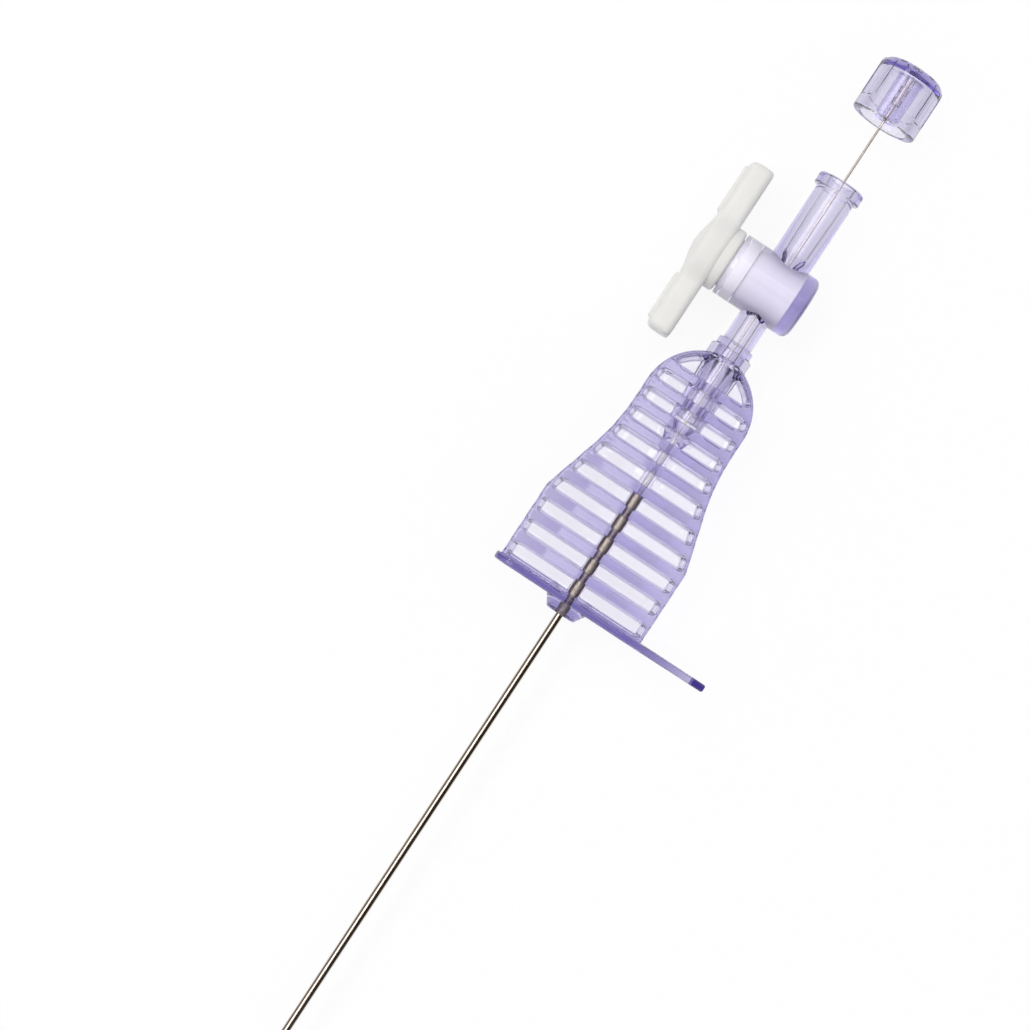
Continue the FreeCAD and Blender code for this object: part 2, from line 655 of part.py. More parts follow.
def make_tap_plug():
    """The white tap: tapered plug with its cross bore, snap ring, disc and handle."""
    body = new_body("tap_plug")
    body.setExpression("Placement.Base.y", BARREL_PLACE)
    core = new_sketch(body, "plug_core", "XY_Plane")
    small, large = "(dims.plug_small_diameter / 2)", "(dims.plug_large_diameter / 2)"
    ring, neck = "(dims.ring_diameter / 2)", "(dims.neck_diameter / 2)"
    disc, hub = "(dims.disc_diameter / 2)", "(dims.hub_diameter / 2)"
    inner, outer = "-dims.ring_inner_reach", "-dims.ring_outer_reach"
    draw(
        core,
        [
            (f"-({HANDLE_FACE} + dims.dome_rise)", "0"),
            ("dims.plug_end_reach", "0"),
            ("dims.plug_end_reach", small),
            (inner, large),
            (inner, ring),
            (outer, ring),
            (outer, neck),
            ("-dims.disc_reach", neck),
            ("-dims.disc_reach", disc),
            ("-dims.handle_reach", disc),
            ("-dims.handle_reach", hub),
            (f"-{HANDLE_FACE}", hub),
            (f"-({HANDLE_FACE} + dims.dome_rise)", "(dims.dome_top_diameter / 2)"),
        ],
    )
    revolve(body, "Revolution", core, "H_Axis")
    wings = new_sketch(body, "handle_wings", "XY_Plane")
    half = "(dims.handle_length / 2)"
    draw(wings, rectangle(f"-{HANDLE_FACE}", "-dims.handle_reach", f"-{half}", half))
    pad(body, wings, "dims.handle_width", both=True)
    pads = new_sketch(body, "finger_pads", "XY_Plane")
    left = f"-({HANDLE_FACE} + dims.pad_rise)"
    right = f"-({HANDLE_FACE} - dims.pad_rise)"
    draw(pads, rectangle(left, right, "dims.pad_start", PAD_END))
    draw(pads, rectangle(left, right, f"-{PAD_END}", "-dims.pad_start"))
    pad(body, pads, "(dims.handle_width - 2 * dims.pad_margin)", both=True)
    bore = new_sketch(body, "cross_bore", "XZ_Plane")
    draw_circle(bore, "0", "0", LUMEN)
    pocket_through(body, bore)
    return body


def make_cap():
    """The stylet's clear cap: skirt, male cone, closed end and eight grip ribs."""
    body = new_body("stylet_cap")
    body.setExpression("Placement.Base.y", "dims.cap_place")
    shell = new_sketch(body, "cap_shell", "XY_Plane")
    skirt, band = "(dims.skirt_bore / 2)", "(dims.cap_diameter / 2)"
    root, soft = "(dims.cap_diameter / 2 - dims.cap_step)", "dims.cap_chamfer"
    hold, cone = "(dims.ferrule_diameter / 2 + dims.bond_gap)", "(dims.cone_base_diameter / 2)"
    cone_length = "(dims.skirt_depth - dims.cone_recess)"
    draw(
        shell,
        [
            (skirt, "0"),
            (band, "0"),
            (band, "dims.cap_band"),
            (root, "dims.cap_band"),
            (root, f"(dims.cap_length - {soft})"),
            (f"({root} - {soft})", "dims.cap_length"),
            ("0", "dims.cap_length"),
            ("0", FERRULE_END),
            (hold, FERRULE_END),
            (hold, FERRULE_START),
            (FERRULE_BORE, FERRULE_START),
            (FERRULE_BORE, "dims.cone_recess"),
            (f"({cone} - dims.luer_taper / 2 * {cone_length})", "dims.cone_recess"),
            (cone, "dims.skirt_depth"),
            (skirt, "dims.skirt_depth"),
        ],
    )
    revolve(body, "Revolution", shell, "V_Axis")
    half_step = f"(180 / {CAP_RIBS})"
    rib = new_sketch(
        body, "cap_rib", "XZ_Plane", {"Base.z": "-dims.cap_band", "Rotation.Angle": half_step}
    )
    side = "(dims.cap_rib_width / 2)"
    draw(rib, rectangle(f"({root} - dims.cap_step)", band, f"-{side}", side))
    length = f"(dims.cap_length - dims.cap_band - {soft})"
    bar = pad(body, rib, length, reverse=True)
    row = body.newObject("PartDesign::PolarPattern", "cap_rib_row")
    row.Originals = [bar]
    row.Axis = (rib, ["N_Axis"])
    row.Angle = 360
    row.Occurrences = CAP_RIBS
    body.Tip = row
    return body


def make_ferrule():
    """The ferrule crimped on the wire inside the cap, with two crimped waists."""
    body = new_body("stylet_ferrule")
    body.setExpression("Placement.Base.y", "dims.cap_place")
    section = new_sketch(body, "ferrule_section", "XY_Plane")
    full = "(dims.ferrule_diameter / 2)"
    waist = "(dims.ferrule_diameter / 2 - dims.crimp_depth)"
    corners = [(FERRULE_BORE, FERRULE_START), (full, FERRULE_START)]
    for share in ("0.3", "0.7"):
        middle = f"({FERRULE_START} + {share} * dims.ferrule_length)"
        low = f"({middle} - dims.crimp_length / 2)"
        high = f"({middle} + dims.crimp_length / 2)"
        corners += [(full, low), (waist, middle), (full, high)]
    corners += [(full, FERRULE_END), (FERRULE_BORE, FERRULE_END)]
    draw(section, corners)
    revolve(body, "Revolution", section, "V_Axis")
    return body


pieces = [
    make_grip(),
    make_shaft(),
    make_tap_body(),
    make_tap_plug(),
    make_wire(),
    make_cap(),
    make_ferrule(),
]
doc.recompute()

for one in doc.Objects:
    if "Invalid" in one.State or "Error" in one.State:
        raise RuntimeError(f"{one.Name} failed: {one.State}")
os.makedirs("parts", exist_ok=True)
for piece in pieces:
    shape = piece.Shape
    if shape.isNull() or not shape.isValid() or len(shape.Solids) != 1:
        raise RuntimeError(f"{piece.Label} is not one valid solid")
    shape.exportStep(f"parts/{piece.Label}.step")
    size = shape.BoundBox
    print(f"{piece.Label}: {shape.Volume:.2f} mm3, {size.XLength:.2f} x {size.YLength:.2f}"
          f" x {size.ZLength:.2f} mm, {len(shape.Faces)} faces")
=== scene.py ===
import json

import bmesh
import bpy
import numpy as np
from mathutils import Matrix, Vector

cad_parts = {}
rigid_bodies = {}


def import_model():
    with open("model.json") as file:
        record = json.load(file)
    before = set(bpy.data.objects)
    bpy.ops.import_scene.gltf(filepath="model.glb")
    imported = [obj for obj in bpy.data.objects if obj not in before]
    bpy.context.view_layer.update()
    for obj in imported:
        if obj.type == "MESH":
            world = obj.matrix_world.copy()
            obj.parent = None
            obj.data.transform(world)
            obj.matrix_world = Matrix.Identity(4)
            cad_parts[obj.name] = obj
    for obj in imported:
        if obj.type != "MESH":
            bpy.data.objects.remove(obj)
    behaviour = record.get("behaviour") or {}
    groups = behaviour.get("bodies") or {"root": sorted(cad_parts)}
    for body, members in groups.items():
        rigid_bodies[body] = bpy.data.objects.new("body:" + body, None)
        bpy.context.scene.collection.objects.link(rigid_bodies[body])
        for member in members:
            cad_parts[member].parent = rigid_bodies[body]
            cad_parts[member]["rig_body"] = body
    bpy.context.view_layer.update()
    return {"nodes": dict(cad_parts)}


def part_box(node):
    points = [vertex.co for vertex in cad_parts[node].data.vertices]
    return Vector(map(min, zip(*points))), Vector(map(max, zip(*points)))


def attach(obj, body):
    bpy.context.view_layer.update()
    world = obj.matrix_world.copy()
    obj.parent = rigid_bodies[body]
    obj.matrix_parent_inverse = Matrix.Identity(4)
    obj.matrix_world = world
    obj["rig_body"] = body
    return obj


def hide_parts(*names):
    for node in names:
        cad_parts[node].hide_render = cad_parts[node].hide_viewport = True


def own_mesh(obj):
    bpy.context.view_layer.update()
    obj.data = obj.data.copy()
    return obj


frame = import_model()

# Every shape below is worked out in millimetres in the frame of the needle: the shaft
# runs along Y, the cap is towards +Y, the pointer towards +X and the grip's face up.
MM = 0.001
# Points of a mesh that lie closer than this, in metres, are one point.
MERGE = 1e-6

# A clear piece is a hair narrower than what it is bonded or greased to, so that no air
# is left between them to mirror in.
BOND, GREASE = 0.01, 0.015

# Steel tube and stylet wire.
SHAFT_RADIUS, SHAFT_BORE = 0.635, 0.42
TIP_RADIUS, TIP_BORE = 0.41, 0.255
WIRE_RADIUS = 0.18
USABLE_LENGTH, TAPER_LENGTH, TIP_LENGTH = 710, 2.2, 13
BEND_RADIUS, BEND_ANGLE = 56, np.radians(67.5)
BEND_LENGTH = BEND_RADIUS * BEND_ANGLE
STRAIGHT = USABLE_LENGTH - BEND_LENGTH - TAPER_LENGTH - TIP_LENGTH
BEVEL_ANGLE = np.radians(50)
WIRE_SHOWING = 13
SHAFT_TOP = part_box("needle_shaft")[1].y / MM
WIRE_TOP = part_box("stylet_wire")[1].y / MM
TIP_WAY = np.array([np.sin(BEND_ANGLE), -np.cos(BEND_ANGLE), 0.0])

# Grip: outline, ribs, hollows, spine and socket.
GRIP_WIDTH, WAIST_WIDTH = 25.6, 17.6
NARROWING = np.radians(16.2)
SHOULDER_PLACE, SHOULDER_RADIUS, WAIST_RADIUS = 15.9, 4.6, 35.5
ARCH_PLACE, ARCH_RADIUS = 37.9, 9.3
GRIP_THICKNESS, GRIP_EDGE, WEB_TOP = 8.4, 6.2, 0.5
RIM_WIDTH, RIB_WIDTH = 1.3, 1.9
RIB_DRAFT, RIM_DRAFT = np.radians(3.5), np.radians(12)
WALL_HEIGHT = 3.2
RIBS = np.concatenate([6.8 + 4.02 * np.arange(6), 30.6 + 3.63 * np.arange(4)])
HOLLOW_FILLET, HOLLOW_CORNER, MOUTH_ROUND, SPINE_FILLET = 0.28, 0.45, 0.12, 0.12
EDGE_INSETS = np.array([0, 0.09, 0.3])
EDGE_DROPS = np.array([0.3, 0.09, 0])
BOSS_LENGTH, BOSS_END, BOSS_ROOT = 1.94, 2.6, 3.65
PLATE_TOP = 3.19
PLATE_HALF, PLATE_BACK, PLATE_CORNER = 8, 13.5, 3
POINTER_START, POINTER_REACH, POINTER_HALF = 9.5, 24.9, 1.7
SPINE_RADIUS, LUMEN_RADIUS, SHAFT_SEAT = 1.2, 0.385, SHAFT_RADIUS - BOND
FOOT_START, SOCKET_FLOOR, SOCKET_CONE = 30.02, 34.7, 1.8
SOCKET_FOOT, SOCKET_NECK = 2.705, 3.272
COLLAR_START, COLLAR_RADIUS, TAP_SEAT = 46.6, 3.55, 48.6
SOCKET_MOUTH, SOCKET_BOTTOM = 2.382, 1.965


def placed(name, data):
    """A new object at the origin, in the scene, of a mesh, a lamp or a lens."""
    thing = bpy.data.objects.new(name, data)
    bpy.context.scene.collection.objects.link(thing)
    return thing


def grid_mesh(name, points, close_rows=False, close_columns=False):
    """A mesh from a grid of points in millimetres, rows by columns: every four
    neighbours make a quad. The last row or column joins the first where it is closed.
    Doubled points are merged, so a row shrunk to one point closes as a pole."""
    rows, columns = points.shape[:2]
    index = np.arange(rows * columns).reshape(rows, columns)
    if close_rows:
        index = np.concatenate([index, index[:1]], axis=0)
    if close_columns:
        index = np.concatenate([index, index[:, :1]], axis=1)
    quads = np.stack(
        [index[:-1, :-1], index[:-1, 1:], index[1:, 1:], index[1:, :-1]], axis=-1
    ).reshape(-1, 4)
    mesh = bpy.data.meshes.new(name)
    mesh.vertices.add(rows * columns)
    mesh.vertices.foreach_set("co", (points * MM).astype(np.float32).ravel())
    mesh.loops.add(quads.size)
    mesh.loops.foreach_set("vertex_index", quads.astype(np.int32).ravel())
    mesh.polygons.add(len(quads))
    mesh.polygons.foreach_set("loop_start", (np.arange(len(quads)) * 4).astype(np.int32))
    mesh.update(calc_edges=True)
    mesh.validate()
    work = bmesh.new()
    work.from_mesh(mesh)
    bmesh.ops.remove_doubles(work, verts=work.verts, dist=MERGE)
    bmesh.ops.dissolve_degenerate(work, edges=work.edges, dist=MERGE)
    bmesh.ops.recalc_face_normals(work, faces=work.faces)
    work.to_mesh(mesh)
    work.free()
    return mesh


def sharpen(mesh, degrees):
    """Smooth shading, with edges steeper than the angle left sharp."""
    limit = np.radians(degrees)
    work = bmesh.new()
    work.from_mesh(mesh)
    for face in work.faces:
        face.smooth = True
    for edge in work.edges:
        edge.smooth = len(edge.link_faces) == 2 and edge.calc_face_angle(0) < limit
    work.to_mesh(mesh)
    work.free()


def new_piece(mesh, material, sharp=50):
    """An object of the mesh at the origin, with its finish. Large faces keep their own
    direction where a small rounding meets them."""
    sharpen(mesh, sharp)
    mesh.materials.clear()
    mesh.materials.append(material)
    piece = placed(mesh.name, mesh)
    weighted = piece.modifiers.new("flat_faces_first", "WEIGHTED_NORMAL")
    weighted.keep_sharp = True
    return piece


def stands_for(piece, node):
    """The piece rides with the node's body and is seen in its place."""
    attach(piece, frame["nodes"][node]["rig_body"])
    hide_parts(node)


def turned(name, profile, axis="Y", centre=0.0, columns=96):
    """A solid of revolution. The profile's rows are (place along the axis, radius); each
    is a ring of points at even angles. The axis is Y, or X through Y = centre."""
    along, radius = np.array(profile, dtype=float).T
    angle = np.linspace(0, 2 * np.pi, columns, endpoint=False)
    side, up = radius[:, None] * np.cos(angle), radius[:, None] * np.sin(angle)
    place = np.repeat(along[:, None], columns, axis=1)
    order = [side, place, up] if axis == "Y" else [place, centre + side, up]
    return grid_mesh(name, np.stack(order, axis=-1), close_columns=True)


def rounded(corners, steps=4):
    """A profile with rounded corners. Each corner is (place, radius, rounding): an arc
    of that rounding, tangent to both sides, takes the corner's place."""
    line = [corners[0][:2]]
    for before, here, after in zip(corners, corners[1:], corners[2:]):
        point = np.array(here[:2], dtype=float)
        if here[2] == 0:
            line.append(tuple(point))
            continue
        back = np.array(before[:2]) - point
        ahead = np.array(after[:2]) - point
        back, ahead = back / np.hypot(*back), ahead / np.hypot(*ahead)
        half = np.arccos(np.clip(back @ ahead, -1, 1)) / 2
        middle = (back + ahead) / np.hypot(*(back + ahead))
        centre = point + middle * here[2] / np.sin(half)
        first = point + back * here[2] / np.tan(half) - centre
        last = point + ahead * here[2] / np.tan(half) - centre
        share = np.linspace(0, 1, steps + 1)[:, None]
        turn = np.pi - 2 * half
        arc = (np.sin((1 - share) * turn) * first + np.sin(share * turn) * last) / np.sin(turn)
        line += [tuple(one) for one in centre + arc]
    line.append(corners[-1][:2])
    return line


def joined(name, base, *steps):
    """The base mesh with others added or cut away in turn, each (operation, mesh)."""
    holder = placed(name, base)
    tools = []
    for operation, mesh in steps:
        tools.append(placed(mesh.name, mesh))
        cut = holder.modifiers.new(mesh.name, "BOOLEAN")
        cut.operation, cut.solver, cut.object = operation, "EXACT", tools[-1]
    graph = bpy.context.evaluated_depsgraph_get()
    result = bpy.data.meshes.new_from_object(holder.evaluated_get(graph))
    result.name = name
    for one in [holder, *tools]:
        bpy.data.objects.remove(one)
    return result


def soft_edges(piece, width, segments=2):
    """Breaks the piece's edges steeper than 40 degrees with a narrow rounding."""
    bevel = piece.modifiers.new("broken_edges", "BEVEL")
    bevel.width, bevel.segments = width * MM, segments
    bevel.limit_method, bevel.angle_limit = "ANGLE", np.radians(40)
    piece.modifiers.move(len(piece.modifiers) - 1, 0)


# Finishes.

DARK_FROM = 22.3
EJECTOR_PLACES = ((9.9, 8.8), (8.2, 20.9))
EJECTOR_RADIUS, EJECTOR_DEPTH = 0.6, 0.03


def new_material(name):
    """A node material: itself, its nodes, its links and its Principled shader."""
    material = bpy.data.materials.new(name)
    material.use_nodes = True
    tree = material.node_tree
    return material, tree.nodes, tree.links, tree.nodes["Principled BSDF"]


def new_group(name, inputs, outputs):
    """An empty shader group. Inputs are (name, value), outputs are names. A socket named
    Color is a colour, any other a number."""
    group = bpy.data.node_groups.new(name, "ShaderNodeTree")
    sockets = [("INPUT", *one) for one in inputs] + [("OUTPUT", one, None) for one in outputs]
    for side, label, value in sockets:
        kind = "NodeSocketColor" if label == "Color" else "NodeSocketFloat"
        socket = group.interface.new_socket(name=label, in_out=side, socket_type=kind)
        if side == "INPUT":
            socket.default_value = value
    nodes = group.nodes
    return group, nodes, group.links, nodes.new("NodeGroupInput"), nodes.new("NodeGroupOutput")


def feed(links, sockets, values):
    """Gives each socket its value: a number, a colour, or another socket to link."""
    for socket, value in zip(sockets, values):
        if isinstance(value, tuple):
            socket.default_value = (*value, 1)
        elif isinstance(value, (int, float)):
            socket.default_value = value
        else:
            links.new(value, socket)


def noise(nodes, links, place, scale, detail):
    """A noise texture over the given coordinates, in waves per metre."""
    texture = nodes.new("ShaderNodeTexNoise")
    sockets = [texture.inputs[name] for name in ("Vector", "Scale", "Detail")]
    feed(links, sockets, (place, scale, detail))
    return texture.outputs["Fac"]


def arithmetic(nodes, links, operation, *values):
    """One Math node. Each value is a number or a socket."""
    node = nodes.new("ShaderNodeMath")
    node.operation = operation
    feed(links, node.inputs, values)
    return node.outputs[0]


def span(nodes, links, value, low, high, to_low=0.0, to_high=1.0):
    """A smooth rise from to_low to to_high while the value goes from low to high."""
    node = nodes.new("ShaderNodeMapRange")
    node.interpolation_type = "SMOOTHSTEP"
    feed(links, node.inputs, (value, low, high, to_low, to_high))
    return node.outputs[0]


def two_tones(nodes, links, share, first, second):
    """A colour between two, by a share from 0 to 1."""
    mix = nodes.new("ShaderNodeMix")
    mix.data_type = "RGBA"
    feed(links, (mix.inputs[0], mix.inputs[6], mix.inputs[7]), (share, first, second))
    return mix.outputs[2]


def mixed(nodes, links, share, first, second):
    """A shader between two, by a share from 0 to 1."""
    mix = nodes.new("ShaderNodeMixShader")
    feed(links, mix.inputs, (share, first, second))
    return mix.outputs[0]


def parts_of(nodes, links, place):
    """The X, Y and Z of a place or a direction."""
    parts = nodes.new("ShaderNodeSeparateXYZ")
    links.new(place, parts.inputs[0])
    return parts.outputs


def patchy_gloss(nodes, links, place, scale, detail, start, end):
    """Lets a group's roughness wander between its least and its most in soft patches."""
    patch = noise(nodes, links, place, scale, detail)
    rough = span(nodes, links, patch, 0.3, 0.7, start.outputs["Least Roughness"],
                 start.outputs["Most Roughness"])
    links.new(rough, end.inputs["Roughness"])


def moulded_surface():
    """Moulded plastic: waves a few millimetres long where it shrank, and the fine grain
    of the mould. Gives a height in metres, a roughness and a tone from 0 to 1."""
    group, nodes, links, start, end = new_group(
        "moulded_surface",
        [("Wave Height", 8e-6), ("Grain Height", 2e-6), ("Least Roughness", 0.3),
         ("Most Roughness", 0.5)],
        ["Height", "Roughness", "Tone"],
    )
    place = nodes.new("ShaderNodeTexCoord").outputs["Object"]
    wave = noise(nodes, links, place, 170, 2)
    grain = noise(nodes, links, place, 3200, 3)
    low = arithmetic(nodes, links, "MULTIPLY", wave, start.outputs["Wave Height"])
    fine = arithmetic(nodes, links, "MULTIPLY_ADD", grain, start.outputs["Grain Height"], low)
    links.new(fine, end.inputs["Height"])
    patchy_gloss(nodes, links, place, 420, 4, start, end)
    links.new(span(nodes, links, wave, 0.3, 0.7), end.inputs["Tone"])
    return group


def ground_metal():
    """Drawn and ground steel: fine lines along the shaft with a few deeper ones, and
    slow changes of gloss. Gives a height in metres, a roughness and a tone."""
    group, nodes, links, start, end = new_group(
        "ground_metal",
        [("Line Height", 4e-7), ("Least Roughness", 0.12), ("Most Roughness", 0.22)],
        ["Height", "Roughness", "Tone"],
    )
    place = nodes.new("ShaderNodeTexCoord").outputs["Object"]
    stretch = nodes.new("ShaderNodeMapping")
    stretch.inputs["Scale"].default_value = (1, 0.02, 1)
    links.new(place, stretch.inputs["Vector"])
    lines = noise(nodes, links, stretch.outputs["Vector"], 9000, 4)
    links.new(arithmetic(nodes, links, "MULTIPLY", lines, start.outputs["Line Height"]),
              end.inputs["Height"])
    patchy_gloss(nodes, links, place, 260, 3, start, end)
    links.new(span(nodes, links, lines, 0.35, 0.65), end.inputs["Tone"])
    return group


def grip_marks():
    """What only the grip carries: a mask for the pointer's end, past DARK_FROM, where the plastic
    turns dark, and the two round ejector marks, sunk a little into the hollows' floors."""
    group, nodes, links, _, end = new_group("grip_marks", [], ["Pointer", "Height"])
    parts = parts_of(nodes, links, nodes.new("ShaderNodeTexCoord").outputs["Object"])
    dark = span(nodes, links, parts["X"], (DARK_FROM - 0.04) * MM, (DARK_FROM + 0.04) * MM)
    links.new(dark, end.inputs["Pointer"])
    flat = nodes.new("ShaderNodeCombineXYZ")
    feed(links, flat.inputs, (parts["X"], parts["Y"]))
    inner, outer = EJECTOR_RADIUS - 0.05, EJECTOR_RADIUS + 0.06
    heights = []
    for x, y in EJECTOR_PLACES:
        distance = nodes.new("ShaderNodeVectorMath")
        distance.operation = "DISTANCE"
        distance.inputs[1].default_value = (x * MM, y * MM, 0)
        links.new(flat.outputs["Vector"], distance.inputs[0])
        away = distance.outputs["Value"]
        heights.append(span(nodes, links, away, inner * MM, outer * MM, 0.0, EJECTOR_DEPTH * MM))
    links.new(arithmetic(nodes, links, "MINIMUM", *heights), end.inputs["Height"])
    return group


def dull_seat():
    """The tube's bonded stretch, above the grip's end face, is made darker, brownish and
    rough. The metal outside it keeps its own colour and roughness."""
    group, nodes, links, start, end = new_group(
        "dull_seat", [("Roughness", 0.2), ("Color", (0.6, 0.6, 0.6, 1))], ["Roughness", "Color"]
    )
    place = nodes.new("ShaderNodeTexCoord").outputs["Object"]
    share = span(nodes, links, parts_of(nodes, links, place)["Y"], 0.2 * MM, 0.6 * MM)
    rough = arithmetic(nodes, links, "MULTIPLY", share, 0.42)
    links.new(arithmetic(nodes, links, "MAXIMUM", rough, start.outputs["Roughness"]),
              end.inputs["Roughness"])
    grit = span(nodes, links, noise(nodes, links, place, 5200, 2), 0.35, 0.65)
    dull = two_tones(nodes, links, grit, (0.36, 0.32, 0.26), (0.20, 0.17, 0.13))
    links.new(two_tones(nodes, links, share, start.outputs["Color"], dull), end.inputs["Color"])
    return group


def finish_with(group, nodes, links, shader, settings):
    """Places a surface group: its roughness and its height, through a bump, go to the
    shader. Gives the group's node and the bump."""
    surface = nodes.new("ShaderNodeGroup")
    surface.node_tree = group
    for name, value in settings.items():
        surface.inputs[name].default_value = value
    links.new(surface.outputs["Roughness"], shader.inputs["Roughness"])
    bump = nodes.new("ShaderNodeBump")
    bump.inputs["Distance"].default_value = 1.0
    links.new(surface.outputs["Height"], bump.inputs["Height"])
    links.new(bump.outputs["Normal"], shader.inputs["Normal"])
    return surface, bump


MOULDED, GROUND, MARKS, DULL = moulded_surface(), ground_metal(), grip_marks(), dull_seat()


def clear_violet():
    """Clear plastic tinted by its depth. Lamp light passes almost untinted through it,
    so that the table below stays bright."""
    material, nodes, links, shader = new_material("violet_plastic")
    shader.inputs["Transmission Weight"].default_value = 1.0
    shader.inputs["IOR"].default_value = 1.5
    surface, bump = finish_with(
        MOULDED, nodes, links, shader,
        {"Wave Height": 5e-6, "Grain Height": 0, "Least Roughness": 0.02, "Most Roughness": 0.07},
    )
    marks = nodes.new("ShaderNodeGroup")
    marks.node_tree = MARKS
    clear, dark = (0.94, 0.935, 0.955), (0.10, 0.07, 0.33)
    links.new(two_tones(nodes, links, marks.outputs["Pointer"], clear, dark),
              shader.inputs["Base Color"])
    height = arithmetic(nodes, links, "ADD", surface.outputs["Height"], marks.outputs["Height"])
    links.new(height, bump.inputs["Height"])
    shadow = nodes.new("ShaderNodeLightPath").outputs["Is Shadow Ray"]
    through = nodes.new("ShaderNodeBsdfTransparent")
    through.inputs["Color"].default_value = (0.985, 0.98, 0.99, 1)
    output = nodes["Material Output"]
    links.new(mixed(nodes, links, shadow, shader.outputs["BSDF"], through.outputs["BSDF"]),
              output.inputs["Surface"])
    volume = nodes.new("ShaderNodeVolumeAbsorption")
    volume.inputs["Color"].default_value = (0.41, 0.34, 0.71, 1)
    volume.inputs["Density"].default_value = 170
    links.new(volume.outputs["Volume"], output.inputs["Volume"])
    return material


def white_polymer():
    """Opaque white moulded plastic, a little warm, with a soft uneven gloss."""
    material, nodes, links, shader = new_material("white_polymer")
    surface, _ = finish_with(
        MOULDED, nodes, links, shader,
        {"Wave Height": 1e-5, "Grain Height": 2.5e-6, "Least Roughness": 0.36, "Most Roughness": 0.5},
    )
    light, dark = (0.79, 0.785, 0.767), (0.762, 0.752, 0.729)
    links.new(two_tones(nodes, links, surface.outputs["Tone"], light, dark),
              shader.inputs["Base Color"])
    return material


def steel(name, light, dark, least, most, seat=False):
    """Ground stainless steel in two tones, with a range of roughness and, where it is
    asked for, the dull stretch that the grip is bonded to."""
    material, nodes, links, shader = new_material(name)
    shader.inputs["Metallic"].default_value = 1.0
    surface, _ = finish_with(
        GROUND, nodes, links, shader, {"Least Roughness": least, "Most Roughness": most}
    )
    colour = two_tones(nodes, links, surface.outputs["Tone"], light, dark)
    if seat:
        dull = nodes.new("ShaderNodeGroup")
        dull.node_tree = DULL
        feed(links, dull.inputs, (surface.outputs["Roughness"], colour))
        links.new(dull.outputs["Roughness"], shader.inputs["Roughness"])
        colour = dull.outputs["Color"]
    links.new(colour, shader.inputs["Base Color"])
    return material


VIOLET = clear_violet()
WHITE = white_polymer()
SHAFT_STEEL = steel("shaft_steel", (0.64, 0.60, 0.55), (0.54, 0.49, 0.44), 0.07, 0.14, True)
WIRE_STEEL = steel("wire_steel", (0.52, 0.48, 0.43), (0.40, 0.36, 0.31), 0.25, 0.36)


# The hub grip. Its surface is one grid: the columns run once round the shaft's axis, the
# upper half from the right side to the left and the lower half back, mirrored. The rows
# run from the end boss over the plate, the hollows and ribs to the socket's rim, and
# back through the bore.

SPINE_TURNS = np.radians(np.linspace(86, -86, 21))
FLOOR_COLUMNS, FLOOR_ROWS, FILLET_LINES = 3, 5, 5
FLOOR_SHARES = np.linspace(0, 1, FLOOR_COLUMNS + 2)[1:-1]
# How far down its rounding a hollow's mouth is halfway round, and the plain band between
# the plate and the first hollow.
MOUTH_HALFWAY, FIRST_BAND = 0.29, 0.5
# A step that is too small to be seen, and an inset that lies inside every rim.
HAIR, FAR_INSIDE = 0.004, 9.0


def wall_lines(draft):
    """The lines from a hollow's mouth to its floor: two round the mouth, two down the
    leaning wall, and those of the fillet, an arc of HOLLOW_FILLET tangent to wall and
    floor. Gives their distances from the wall's foot, and the fillet's rises."""
    turn = np.linspace(np.pi / 2 - draft, 0, FILLET_LINES)
    centre = HOLLOW_FILLET * (1 / np.cos(draft) - np.tan(draft))
    fillet = centre - HOLLOW_FILLET * np.sin(turn)
    top = -WALL_HEIGHT * np.tan(draft)
    mouth = [top - MOUTH_ROUND, top - MOUTH_HALFWAY * MOUTH_ROUND, top, (top + fillet[0]) / 2]
    return np.concatenate([mouth, fillet]), HOLLOW_FILLET * (1 - np.cos(turn))


RIM_LINES, FILLET_RISES = wall_lines(RIM_DRAFT)
RIB_LINES, _ = wall_lines(RIB_DRAFT)
LINE_COUNT = len(RIM_LINES)
FLOOR = LINE_COUNT
SIDE_COLUMNS = len(EDGE_INSETS) + LINE_COUNT + FLOOR_COLUMNS
TOP_SHARE = np.array([1, 1, 1, 0.5] + [0] * FILLET_LINES)
MOUTH_DROPS = np.array([0, MOUTH_HALFWAY, 1, 1] + [0] * FILLET_LINES) * MOUTH_ROUND
FLOOR_RISES = np.concatenate([[0, 0, 0, FILLET_RISES[0]], FILLET_RISES])


def bow(radius, offset):
    """Height of a circle's arc over its centre at an offset along its base."""
    return np.sqrt(np.maximum(radius**2 - offset**2, 0))


def ease(value, start, end):
    """Rises softly from 0 to 1 between two values."""
    share = np.clip((value - start) / (end - start), 0, 1)
    return share * share * (3 - 2 * share)


def soft_max(first, second, softness):
    """The larger of two values, with a smooth change from one to the other: half the sum
    of both and of the hypotenuse of their gap and the softness."""
    return (first + second + np.hypot(first - second, softness)) / 2


